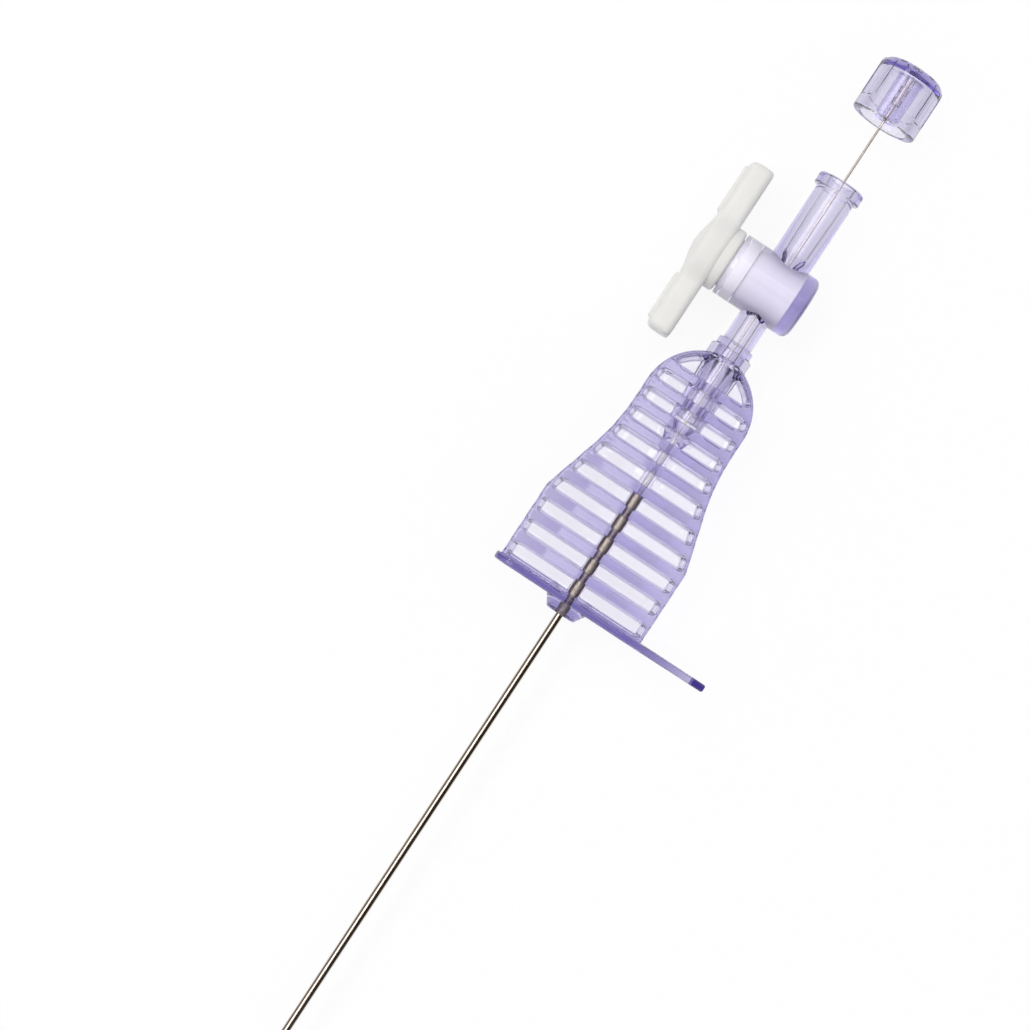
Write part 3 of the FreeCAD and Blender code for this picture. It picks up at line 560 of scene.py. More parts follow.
def grip_half_width(place, inset):
    """Half the grip's width at a place, to a line that runs inset inside the outline:
    parallel sides, an arc, a side leaning by NARROWING, a hollow arc into the waist,
    parallel sides again and the arch."""
    half, waist = GRIP_WIDTH / 2 - inset, WAIST_WIDTH / 2 - inset
    corner = SHOULDER_PLACE - inset * np.tan(NARROWING / 2)
    shoulder, sweep, arch = SHOULDER_RADIUS - inset, WAIST_RADIUS + inset, ARCH_RADIUS - inset
    soft = shoulder * np.tan(NARROWING / 2)
    waist_start = corner + (half - waist) / np.tan(NARROWING) + sweep * np.tan(NARROWING / 2)
    stretches = [
        (corner - soft, half + 0 * place),
        (corner + soft * np.cos(NARROWING), half - shoulder + bow(shoulder, place - corner + soft)),
        (waist_start - sweep * np.sin(NARROWING), half - (place - corner) * np.tan(NARROWING)),
        (waist_start, waist + sweep - bow(sweep, waist_start - place)),
        (ARCH_PLACE, waist + 0 * place),
    ]
    arched = waist - arch + bow(arch, place - ARCH_PLACE)
    return np.select([place <= end for end, _ in stretches], [one for _, one in stretches], arched)


def core_radius(place):
    """Radius of the spine and of the socket that widens from it towards the collar."""
    places = [FOOT_START, SOCKET_FLOOR, COLLAR_START]
    return np.interp(place, places, [SPINE_RADIUS, SOCKET_FOOT, SOCKET_NECK])


def crown_height(across):
    """Height of the grip's crowned face: an arc from its middle to its side edges."""
    half, sag = GRIP_WIDTH / 2, (GRIP_THICKNESS - GRIP_EDGE) / 2
    radius = (half**2 + sag**2) / (2 * sag)
    return GRIP_THICKNESS / 2 - radius + bow(radius, across)


def arch_inset(across, place):
    """Distance inside the arch's outline, far inside below the arch."""
    offset = np.hypot(np.abs(across) - WAIST_WIDTH / 2 + ARCH_RADIUS, place - ARCH_PLACE)
    return np.where(place > ARCH_PLACE, ARCH_RADIUS - offset, FAR_INSIDE)


def rounded_corners():
    """Where the lines of rim and rib walls cross near a hollow's corner, every line of
    the same kind is bent into a quarter ellipse about one centre, HOLLOW_CORNER inside
    both walls' feet. Gives the crossing's distances from the rim's and the rib's foot,
    rib lines by rim lines."""
    i, j = np.meshgrid(np.arange(LINE_COUNT), np.arange(LINE_COUNT), indexing="ij")
    kind = np.minimum(i, j)
    wide, deep = HOLLOW_CORNER - RIM_LINES[kind], HOLLOW_CORNER - RIB_LINES[kind]
    on_rib = (RIM_LINES[j] - RIM_LINES[kind]) / wide
    on_rim = (RIB_LINES[i] - RIB_LINES[kind]) / deep
    turn = np.pi / 4 * (1 + on_rib - on_rim)
    return HOLLOW_CORNER - wide * np.cos(turn), HOLLOW_CORNER - deep * np.sin(turn)


def hollow_rows(low, high):
    """The rows of a hollow between the feet of its two rib walls: row places, kinds, and
    the places and distances from the rim's foot of the points on the rim's lines."""
    from_rim, from_rib = rounded_corners()
    middle = np.linspace(low + RIB_LINES[-1], high - RIB_LINES[-1], FLOOR_ROWS + 2)[1:-1]
    places = np.concatenate([low + RIB_LINES, middle, high - RIB_LINES[::-1]])
    wall = np.arange(LINE_COUNT)
    kinds = np.concatenate([wall, np.full(FLOOR_ROWS, FLOOR), wall[::-1]])
    straight = np.repeat(middle[:, None], LINE_COUNT, axis=1)
    rim_places = np.concatenate([low + from_rib, straight, high - from_rib[::-1]])
    plain = np.repeat(RIM_LINES[None, :], len(middle), axis=0)
    return places, kinds, rim_places, np.concatenate([from_rim, plain, from_rim[::-1]])


def crest_row(place):
    """The single row along a rib's crest, given as hollow_rows gives its rows."""
    crest = np.zeros((1, LINE_COUNT))
    return np.array([place]), np.zeros(1), crest + place, crest + RIM_LINES


def upper_surface(place, kind, rim_place, from_rim):
    """The upper surface's points over the rows, right side to left: places across and
    along, kinds of line, and drops at the outline's rounded edge."""
    rows = len(place)
    core = core_radius(place)[:, None]
    edge = core * np.sin(SPINE_TURNS[0])
    own = np.repeat(place[:, None], len(EDGE_INSETS), axis=1)
    outer = np.maximum(grip_half_width(own, EDGE_INSETS), edge)
    walls = np.maximum(grip_half_width(rim_place, RIM_WIDTH + from_rim), edge)
    inner = np.maximum(grip_half_width(place, RIM_WIDTH + RIM_LINES[-1])[:, None], edge)
    floor = inner * (1 - FLOOR_SHARES) + edge * FLOOR_SHARES
    across = np.concatenate([outer, walls, floor], axis=1)
    along = np.concatenate([own, rim_place, np.repeat(place[:, None], FLOOR_COLUMNS, 1)], axis=1)
    middle = core * np.sin(SPINE_TURNS)
    across = np.concatenate([across, middle, -across[:, ::-1]], axis=1)
    spine = np.repeat(place[:, None], len(SPINE_TURNS), axis=1)
    along = np.concatenate([along, spine, along[:, ::-1]], axis=1)
    rim_kinds = np.concatenate([[0, 0, 0], np.arange(LINE_COUNT), np.full(FLOOR_COLUMNS, FLOOR)])
    kinds = np.concatenate([rim_kinds, np.full(len(SPINE_TURNS), FLOOR), rim_kinds[::-1]])
    drops = np.concatenate([EDGE_DROPS, np.zeros(len(kinds) - 6), EDGE_DROPS[::-1]])
    level = np.minimum(np.repeat(kinds[None, :], rows, axis=0), kind[:, None])
    return across, along, level.astype(float), np.repeat(drops[None, :], rows, axis=0)


def surface_height(across, along, level, drops):
    """Height of the upper surface: the crown on the rim and the ribs, the web with its
    fillets in the hollows, and a softened maximum with the round spine and socket."""
    kinds = np.arange(LINE_COUNT)
    top = crown_height(across) - np.interp(level, kinds, MOUTH_DROPS) - drops
    low = WEB_TOP + np.interp(level, kinds, FLOOR_RISES)
    share = np.interp(level, kinds, TOP_SHARE)
    shell = share * top + (1 - share) * low
    return soft_max(shell, bow(core_radius(along), across), SPINE_FILLET)


def arch_rows():
    """The rows from the last rib to the arch's outline. Over the socket they bend with
    the arch, so that its inner wall, crest and outer edge each follow a row."""
    insets = np.concatenate([RIM_WIDTH + RIM_LINES[::-1], EDGE_INSETS[::-1]])
    first = RIBS[-1] + RIB_WIDTH / 2 + RIB_LINES[-1]
    reach = SOCKET_NECK * np.abs(np.sin(SPINE_TURNS)) + ARCH_RADIUS - WAIST_WIDTH / 2
    bent = ARCH_PLACE + np.sqrt((ARCH_RADIUS - insets[:, None]) ** 2 - reach**2)
    share = np.linspace(0, 1, 9)[1:-1, None]
    fill = first * (1 - share) + bent[:1] * share
    return np.concatenate([fill, bent])


def arch_surface():
    """The upper surface of the arch's end: the rim's lines are taken at the height that
    the row has at the socket's edge, and the level at each point comes from its
    distance inside the arch's outline."""
    spine = arch_rows()
    edge_place = spine[:, :1]
    edge = core_radius(edge_place) * np.sin(SPINE_TURNS[0])
    insets = np.concatenate([EDGE_INSETS, RIM_WIDTH + RIM_LINES])
    rim = np.maximum(grip_half_width(edge_place, insets), edge)
    floor = rim[:, -1:] * (1 - FLOOR_SHARES) + edge * FLOOR_SHARES
    right = np.concatenate([rim, floor], axis=1)
    across = np.concatenate([right, core_radius(edge_place) * np.sin(SPINE_TURNS), -right[:, ::-1]], 1)
    side = np.repeat(edge_place, right.shape[1], axis=1)
    along = np.concatenate([side, spine, side], axis=1)
    inset = arch_inset(across, along)
    level = np.interp(inset - RIM_WIDTH, RIM_LINES, np.arange(LINE_COUNT))
    drops = np.interp(inset, EDGE_INSETS, EDGE_DROPS)
    return across, along, level, drops


def ring(radius, place):
    """A ring round the shaft's axis on the grip's columns: the side columns lie together
    at the ends of the upper half."""
    turn = np.pad(SPINE_TURNS, SIDE_COLUMNS, mode="edge")
    place = np.broadcast_to(place, turn.shape)
    return np.stack([radius * np.sin(turn), place, radius * np.cos(turn)], axis=-1)


def plate_outline(inset, place):
    """The pointer plate's outline on the grip's columns, moved in by the inset: the right
    columns run from the pointer's blunt end up its leaning edge, the middle ones along
    the top, the left ones round the back corner."""
    lean = np.arctan2(PLATE_HALF - POINTER_HALF, POINTER_REACH - POINTER_START)
    bend = POINTER_START - inset * np.tan(lean / 2)
    end = POINTER_REACH - inset
    top = PLATE_HALF - inset
    x_right = np.linspace(end, bend, SIDE_COLUMNS, endpoint=False)
    z_right = top - (x_right - bend) * np.tan(lean)
    x_middle = np.linspace(bend, PLATE_CORNER - PLATE_BACK, len(SPINE_TURNS))
    turn = np.linspace(np.pi / 2, np.pi, SIDE_COLUMNS + 1)[1:]
    radius = PLATE_CORNER - inset
    x_left = PLATE_CORNER - PLATE_BACK + radius * np.cos(turn)
    z_left = PLATE_HALF - PLATE_CORNER + radius * np.sin(turn)
    x = np.concatenate([x_right, x_middle, x_left])
    z = np.concatenate([z_right, np.full(len(x_middle), top), z_left])
    return np.stack([x, np.full(len(x), place), z], axis=-1)


def hub_grip():
    """The clear grip as one closed grid."""
    rows = [
        ring(BOSS_END - 0.3, 0), ring(BOSS_END - 0.08, 0.08), ring(BOSS_END + 0.02, 0.3),
        ring(BOSS_ROOT - 0.04, BOSS_LENGTH - 0.1), ring(BOSS_ROOT + 0.1, BOSS_LENGTH),
    ]
    edges = list(zip(EDGE_INSETS, EDGE_DROPS))
    rows += [plate_outline(inset, BOSS_LENGTH + drop) for inset, drop in edges[::-1]]
    rows += [plate_outline(inset, PLATE_TOP - drop) for inset, drop in edges]
    lows = np.concatenate([[PLATE_TOP + FIRST_BAND], RIBS[:-1] + RIB_WIDTH / 2])
    bands = [crest_row(PLATE_TOP)]
    for low, rib in zip(lows, RIBS):
        bands += [hollow_rows(low, rib - RIB_WIDTH / 2), crest_row(rib)]
    low = RIBS[-1] + RIB_WIDTH / 2
    from_rim, from_rib = rounded_corners()
    bands.append((low + RIB_LINES, np.arange(LINE_COUNT), low + from_rib, from_rim))
    place, kind, rim_place, rim_offset = (np.concatenate(one) for one in zip(*bands))
    across, along, level, drops = (
        np.concatenate(pair)
        for pair in zip(upper_surface(place, kind, rim_place, rim_offset), arch_surface())
    )
    shell = np.stack([across, along, surface_height(across, along, level, drops)], axis=-1)
    rows += list(shell)
    end = shell[-1, :, 1] + HAIR
    radius = np.where(end > COLLAR_START, COLLAR_RADIUS, core_radius(end))
    collar = np.maximum(end, COLLAR_START)
    rows += [ring(radius, end), ring(radius, collar), ring(COLLAR_RADIUS, collar)]
    rows += [ring(COLLAR_RADIUS - inset, TAP_SEAT - drop) for inset, drop in edges]
    rows += [
        ring(SOCKET_MOUTH + 0.12, TAP_SEAT), ring(SOCKET_MOUTH, TAP_SEAT - 0.12),
        ring(SOCKET_BOTTOM, SOCKET_FLOOR), ring(LUMEN_RADIUS, SOCKET_FLOOR - SOCKET_CONE),
        ring(LUMEN_RADIUS, SHAFT_TOP), ring(SHAFT_SEAT, SHAFT_TOP),
        ring(SHAFT_SEAT, 0.1), ring(SHAFT_SEAT + 0.1, 0),
    ]
    upper = np.stack(rows)
    lower = upper[:, ::-1] * np.array([1, 1, -1])
    points = np.concatenate([upper, lower], axis=1)
    mesh = grid_mesh("grip_moulding", points, close_rows=True, close_columns=True)
    piece = new_piece(mesh, VIOLET)
    stands_for(piece, "hub_grip")


hub_grip()


# The steel tube and the stylet wire.


def centreline(distance):
    """Points and directions of the needle's centreline. Distance is measured from the
    grip's end face towards the point, negative inside the grip: a straight run down -Y,
    an arc of BEND_RADIUS towards +X, and a straight run along the tip."""
    turn = np.clip(distance - STRAIGHT, 0, BEND_LENGTH) / BEND_RADIUS
    past = np.maximum(distance - STRAIGHT - BEND_LENGTH, 0)
    x = BEND_RADIUS * (1 - np.cos(turn)) + past * np.sin(turn)
    y = -np.minimum(distance, STRAIGHT) - BEND_RADIUS * np.sin(turn) - past * np.cos(turn)
    flat = np.zeros_like(x)
    return np.stack([x, y, flat], axis=-1), np.stack([np.sin(turn), -np.cos(turn), flat], axis=-1)


def tube_along(distance, radius, segments):
    """Rings round the centreline: ring i has radius[i] and stands square to the line."""
    place, way = centreline(distance)
    across = np.stack([-way[:, 1], way[:, 0], np.zeros(len(way))], axis=-1)
    angle = np.linspace(0, 2 * np.pi, segments, endpoint=False)
    ring_way = np.cos(angle)[None, :, None] * across[:, None, :]
    ring_way = ring_way + np.sin(angle)[None, :, None] * np.array([0.0, 0.0, 1.0])
    return place[:, None, :] + radius[:, None, None] * ring_way


def needle_tube():
    """The steel tube: outer wall from the grip to the point, then the inner wall back.
    The swaged cone eases from one radius to the other. The point's rings are pushed
    back along the tip so that they lie in a plane leaning BEVEL_ANGLE from its axis."""
    bend_end = STRAIGHT + BEND_LENGTH
    distance = np.concatenate(
        [
            np.linspace(-SHAFT_TOP, 0, 4),
            np.linspace(2, STRAIGHT, 60),
            np.linspace(STRAIGHT, bend_end, 60)[1:],
            np.linspace(bend_end, bend_end + TAPER_LENGTH, 8)[1:],
            np.linspace(bend_end + TAPER_LENGTH, USABLE_LENGTH, 12)[1:],
        ]
    )
    soft = ease(distance, bend_end, bend_end + TAPER_LENGTH)
    outside = tube_along(distance, SHAFT_RADIUS + (TIP_RADIUS - SHAFT_RADIUS) * soft, 40)
    inside = tube_along(distance[::-1], (SHAFT_BORE + (TIP_BORE - SHAFT_BORE) * soft)[::-1], 40)
    side = np.array([-TIP_WAY[1], TIP_WAY[0], 0.0])
    point = centreline(np.array([USABLE_LENGTH]))[0][0]
    for ring_points in (outside[-1], inside[0]):
        offset = (ring_points - point) @ side
        ring_points -= ((TIP_RADIUS + offset) / np.tan(BEVEL_ANGLE))[:, None] * TIP_WAY
    points = np.concatenate([outside, inside])
    mesh = grid_mesh("needle_tube", points, close_rows=True, close_columns=True)
    stands_for(new_piece(mesh, SHAFT_STEEL, 35), "needle_shaft")


def wire_between(name, start, stop, rows):
    """A round wire along the centreline between two distances, its ends closed by a
    ring shrunk to the middle."""
    distance = np.concatenate([[start], np.linspace(start, stop, rows), [stop]])
    radius = np.full(len(distance), WIRE_RADIUS)
    radius[0] = radius[-1] = 0
    mesh = grid_mesh(name, tube_along(distance, radius, 24), close_columns=True)
    return new_piece(mesh, WIRE_STEEL)


def stylet_wires():
    """The wire in two pieces whose cut ends lie inside the steel tube: the long one
    slides with the cap, the short one past the point draws back into the tube."""
    long_wire = wire_between("stylet_wire_straight", -WIRE_TOP, STRAIGHT - 28, 60)
    stands_for(long_wire, "stylet_wire")
    end_wire = wire_between("stylet_wire_end", USABLE_LENGTH - 8, USABLE_LENGTH + WIRE_SHOWING, 12)
    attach(end_wire, "needle")
    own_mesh(end_wire)


# The tap: clear body, white plug and handle.

BARREL_PLACE, BARREL_RADIUS = 60.0, 5.25
BARREL_OPEN, BARREL_CLOSED, BARREL_ROUND = -7.8, 5.75, 1.3
MALE_TIP, MALE_TIP_RADIUS, MALE_END_RADIUS = 35.7, 1.975, 2.362
STOP_RADIUS, STOP_LENGTH, MALE_TUBE = 3.025, 1.3, 2.45
INLET_RADIUS, LUG_RADIUS, LUG_START, INLET_MOUTH = 3.3, 3.95, 77.8, 79.7
TAP_LUMEN, CONE_START, CONE_SMALL, CONE_LARGE = 1.07, 66.5, 1.754, 2.15
PLUG_END, PLUG_SMALL, PLUG_LARGE = 3.4, 3.7, 4.0
RING_INNER, RING_OUTER, RING_RADIUS, RING_PLAY = -4.9, -7.0, 4.45, 0.1
NECK_RADIUS, DISC_INNER, DISC_RADIUS = 4.15, -8.0, 5.3
HANDLE_INNER, HANDLE_OUTER, HUB_RADIUS = -9.55, -13.65, 5.8
HANDLE_HALF, WING_HALF, HANDLE_CORNER, HANDLE_END, INNER_SHARE = 15.1, 3.4, 1.25, 1.1, 0.4
WING_FILLET, WING_EXTRA = 1.3, 0.13
SWELL_HEIGHT, SWELL_RADIUS = 0.85, 6.0
PAD_HEIGHT, PAD_START, PAD_END = 0.5, (5.55, 6.2), (13.4, 13.95)


def filled(profile, step):
    """The profile with more points along its sides, no further apart than the step."""
    line = [profile[0]]
    for start, end in zip(profile, profile[1:]):
        count = max(int(np.ceil(np.hypot(end[0] - start[0], end[1] - start[1]) / step)), 1)
        share = np.linspace(0, 1, count + 1)[1:, None]
        line += [tuple(one) for one in np.array(start) * (1 - share) + np.array(end) * share]
    return line


def tap_moulding():
    """The clear tap body: its tubes and its barrel are solids of revolution that are
    joined, and the plug's bore and the tubes' lumen are cut from them."""
    tubes = rounded(
        [
            (MALE_TIP, 0), (MALE_TIP, MALE_TIP_RADIUS, 0.15), (TAP_SEAT, MALE_END_RADIUS, 0),
            (TAP_SEAT, STOP_RADIUS, 0.2), (TAP_SEAT + STOP_LENGTH, STOP_RADIUS, 0.25),
            (TAP_SEAT + STOP_LENGTH, MALE_TUBE, 0.2), (BARREL_PLACE, MALE_TUBE, 0),
            (BARREL_PLACE, INLET_RADIUS, 0), (LUG_START, INLET_RADIUS, 0.25),
            (LUG_START, LUG_RADIUS, 0.25), (INLET_MOUTH, LUG_RADIUS, 0.3), (INLET_MOUTH, 0),
        ]
    )
    barrel = rounded(
        [
            (BARREL_OPEN, 0), (BARREL_OPEN, BARREL_RADIUS, 0.25),
            (BARREL_CLOSED, BARREL_RADIUS, BARREL_ROUND), (BARREL_CLOSED, 0),
        ],
        6,
    )
    ring_inner, ring_outer = RING_INNER + RING_PLAY, RING_OUTER - RING_PLAY
    bore = rounded(
        [
            (BARREL_OPEN - 1, 0), (BARREL_OPEN - 1, NECK_RADIUS - GREASE, 0),
            (ring_outer, NECK_RADIUS - GREASE, 0), (ring_outer, RING_RADIUS - GREASE, 0),
            (ring_inner, RING_RADIUS - GREASE, 0), (ring_inner, PLUG_LARGE - GREASE, 0),
            (PLUG_END - GREASE, PLUG_SMALL - GREASE, 0.2), (PLUG_END - GREASE, 0),
        ]
    )
    lumen = [
        (MALE_TIP - 1, 0), (MALE_TIP - 1, TAP_LUMEN), (CONE_START - 1.6, TAP_LUMEN),
        (CONE_START, CONE_SMALL), (INLET_MOUTH - 0.2, CONE_LARGE), (INLET_MOUTH, CONE_LARGE + 0.2),
        (INLET_MOUTH + 1, CONE_LARGE + 0.2), (INLET_MOUTH + 1, 0),
    ]
    mesh = joined(
        "tap_moulding",
        turned("tap_tubes", filled(tubes, 1.2)),
        ("UNION", turned("tap_barrel", filled(barrel, 0.8), "X", BARREL_PLACE, 128)),
        ("DIFFERENCE", turned("plug_bore", filled(bore, 0.8), "X", BARREL_PLACE, 128)),
        ("DIFFERENCE", turned("tap_lumen", filled(lumen, 1.2), columns=64)),
    )
    piece = new_piece(mesh, VIOLET, 40)
    soft_edges(piece, 0.08)
    stands_for(piece, "tap_body")


def handle_sections():
    """The handle along its length v, from the barrel's axis: each section is a bar with
    arcs for corners. Its half width is a softened maximum of the wing's and the round
    middle's, less what the softening adds to the wing. Its outer face has a cosine swell
    in the middle and a raised pad on each wing, and the last sections draw in along a
    quarter circle, the inner face by less so that the corners' arcs never cross."""
    end_turn = np.linspace(0, np.pi / 2, 9)
    body = np.concatenate(
        [np.linspace(0, 5.5, 16), np.linspace(5.6, 6.2, 6), np.linspace(6.6, 13.2, 10),
         np.linspace(13.4, 13.9, 6)]
    )
    v = np.concatenate([body, HANDLE_HALF - HANDLE_END * (1 - np.sin(end_turn))])
    drawn = np.concatenate([np.zeros(len(body)), HANDLE_END * (1 - np.cos(end_turn))])
    v = np.concatenate([-v[:0:-1], v])
    drawn = np.concatenate([drawn[:0:-1], drawn])
    half = soft_max(bow(HUB_RADIUS, v), WING_HALF, WING_FILLET) - WING_EXTRA - drawn
    edge = half[:, None] - HANDLE_CORNER
    margin = np.array([0, 0.12, 0.3])
    z_outer = np.concatenate([edge - margin, edge * np.array([0.5, 0, -0.5]), margin[::-1] - edge], 1)
    raised = np.array([0, 0.5, 1, 1, 1, 1, 1, 0.5, 0])
    away = np.minimum(np.hypot(v[:, None], z_outer) / SWELL_RADIUS, 1)
    swell = SWELL_HEIGHT * (1 + np.cos(np.pi * away)) / 2
    on_wing = ease(np.abs(v), *PAD_START) * (1 - ease(np.abs(v), *PAD_END))
    outer = HANDLE_OUTER + drawn[:, None] - swell - PAD_HEIGHT * on_wing[:, None] * raised
    inner = HANDLE_INNER - drawn[:, None] * INNER_SHARE
    turn = np.linspace(0, np.pi / 2, 7)
    sine, cosine = HANDLE_CORNER * np.sin(turn), HANDLE_CORNER * (1 - np.cos(turn))
    x = np.concatenate(
        [outer, outer[:, -1:] + cosine[1:], inner - cosine[::-1], inner, inner - cosine,
         outer[:, :1] + cosine[:0:-1]], axis=1
    )
    z = np.concatenate(
        [z_outer, -edge - sine[1:], -edge - sine[::-1], 0 * edge, edge + sine,
         edge + sine[:0:-1]], axis=1
    )
    y = BARREL_PLACE + np.repeat(v[:, None], x.shape[1], axis=1)
    points = np.stack([x, y, z], axis=-1)
    first, last = points[:1].mean(axis=1, keepdims=True), points[-1:].mean(axis=1, keepdims=True)
    ends = np.ones((1, x.shape[1], 1))
    return np.concatenate([first * ends, points, last * ends])


def tap_handle():
    """The white plug, a solid of revolution, joined with the moulded handle, and the
    cross bore cut through it."""
    core = rounded(
        [
            (PLUG_END, 0), (PLUG_END, PLUG_SMALL, 0.2), (RING_INNER, PLUG_LARGE, 0),
            (RING_INNER, RING_RADIUS, 0.2), (RING_OUTER, RING_RADIUS, 0.2),
            (RING_OUTER, NECK_RADIUS, 0), (DISC_INNER, NECK_RADIUS, 0),
            (DISC_INNER, DISC_RADIUS, 0.6), (HANDLE_INNER, DISC_RADIUS, 0),
            (HANDLE_INNER - 1, DISC_RADIUS, 0), (HANDLE_INNER - 1, 0),
        ]
    )
    bore = [(BARREL_PLACE - 6, 0), (BARREL_PLACE - 6, TAP_LUMEN), (BARREL_PLACE + 6, TAP_LUMEN),
            (BARREL_PLACE + 6, 0)]
    mesh = joined(
        "tap_handle",
        grid_mesh("handle_bar", handle_sections(), close_columns=True),
        ("UNION", turned("plug_core", filled(core, 1.2), "X", BARREL_PLACE)),
        ("DIFFERENCE", turned("cross_bore", bore, columns=48)),
    )
    piece = new_piece(mesh, WHITE, 40)
    soft_edges(piece, 0.15, 3)
    stands_for(piece, "tap_plug")


# The stylet's cap and ferrule.

CAP_PLACE, CAP_LENGTH, CAP_BAND = 91.0, 9.5, 2.6
CAP_RADIUS, CAP_ROOT, CAP_ROUND = 5.475, 5.355, 1.5
SKIRT_RADIUS, SKIRT_DEPTH, CONE_RECESS = 4.075, 7.9, 0.6
CAP_CONE_END, CAP_CONE_BASE = 1.95, 2.13
FERRULE_START, FERRULE_END, FERRULE_RADIUS = 3.3, 8.3, 0.5
CRIMP_PLACES, CRIMP_SPREAD, CRIMP_DEPTH = (0.3, 0.7), 0.06, 0.06
CAP_RIBS = 8


def stylet_cap():
    """The clear cap: a profile turned round the shaft's axis. Past the plain band the
    outside also swells by the step at each rib's angle, with short sloping sides."""
    profile = rounded(
        [
            (CAP_LENGTH, 0), (CAP_LENGTH, CAP_ROOT, CAP_ROUND), (CAP_BAND + 0.05, CAP_ROOT, 0),
            (CAP_BAND - 0.05, CAP_RADIUS, 0), (0, CAP_RADIUS, 0.35), (0, SKIRT_RADIUS, 0.2),
            (SKIRT_DEPTH, SKIRT_RADIUS, 0.4), (SKIRT_DEPTH, CAP_CONE_BASE, 0.3),
            (CONE_RECESS, CAP_CONE_END, 0.3), (CONE_RECESS, WIRE_RADIUS - BOND, 0),
            (FERRULE_START, WIRE_RADIUS - BOND, 0), (FERRULE_START, FERRULE_RADIUS - BOND, 0),
            (FERRULE_END, FERRULE_RADIUS - BOND, 0), (FERRULE_END, 0),
        ],
        5,
    )
    along, radius = np.array(profile).T
    offsets = np.array([-3.6, -2.7, 0, 2.7, 3.6, 8, 13, 18, 22.5, 27, 32, 37])
    angle = np.radians((np.arange(CAP_RIBS)[:, None] * 360 / CAP_RIBS + offsets).ravel())
    on_rib = np.tile((np.abs(offsets) < 3).astype(float), CAP_RIBS)
    ribbed = (radius > SKIRT_RADIUS + 0.5) & (along > CAP_BAND) & (along < CAP_LENGTH - 0.3)
    swell = ribbed[:, None] * on_rib * (CAP_RADIUS - CAP_ROOT)
    reach = radius[:, None] + swell
    place = np.repeat(CAP_PLACE + along[:, None], len(angle), axis=1)
    points = np.stack([reach * np.sin(angle), place, reach * np.cos(angle)], axis=-1)
    mesh = grid_mesh("cap_moulding", points, close_columns=True)
    stands_for(new_piece(mesh, VIOLET, 40), "stylet_cap")


def ferrule():
    """The crimped ferrule: a tube whose outside has two waists, each a bell curve along
    its length."""
    place = np.linspace(FERRULE_START, FERRULE_END, 61)
    share = (place - FERRULE_START) / (FERRULE_END - FERRULE_START)
    waist = sum(np.exp(-(((share - middle) / CRIMP_SPREAD) ** 2)) for middle in CRIMP_PLACES)
    outer = list(zip(place, FERRULE_RADIUS - CRIMP_DEPTH * waist))
    inner = [(FERRULE_END, WIRE_RADIUS - BOND), (FERRULE_START, WIRE_RADIUS - BOND)]
    profile = np.array(outer + inner)
    angle = np.linspace(0, 2 * np.pi, 48, endpoint=False)
    rows = np.repeat(CAP_PLACE + profile[:, :1], len(angle), axis=1)
    reach = profile[:, 1:]
    points = np.stack([reach * np.sin(angle), rows, reach * np.cos(angle)], axis=-1)
    mesh = grid_mesh("ferrule_tube", points, close_rows=True, close_columns=True)
    stands_for(new_piece(mesh, WIRE_STEEL), "stylet_ferrule")


needle_tube()
stylet_wires()
tap_moulding()
tap_handle()
stylet_cap()
ferrule()


# Table, light and camera.

TABLE_SIZE, TABLE_GAP, TABLE_WHITE = 3000, 0.02, 0.88
WHITE_LIGHT, ROOM_LIGHT = (1, 1, 1), (0.07, 0.05, 0.038)
# How far towards either end of the needle a direction leans where the surround turns
# from dark to white, and how far off, in metres, the table's mirror image turns dark.
ENDWISE, FAR_OFF = (0.2, 0.45), (0.012, 0.05)
# The camera: its place, its turn in degrees and its focal length in pixels of the frame.
CAMERA_PLACE, CAMERA_TURN = (-14.23, 9.04, 418.5), 33.35
FOCAL_PIXELS, FRAME_PIXELS = 2700, 1030


def plain_light(nodes, links, kind, colour, strength=1.0):
    """An Emission or Background shader of a colour and a strength, given or linked."""
    node = nodes.new(kind)
    feed(links, (node.inputs["Color"], node.inputs["Strength"]), (colour, strength))
    return node.outputs[0]


def seen_directly(nodes, links):
    """1 for what the camera sees, also in metal and through clear plastic."""
    path = nodes.new("ShaderNodeLightPath").outputs
    either = arithmetic(nodes, links, "MAXIMUM", path["Is Camera Ray"], path["Is Glossy Ray"])
    return arithmetic(nodes, links, "MAXIMUM", either, path["Is Transmission Ray"])


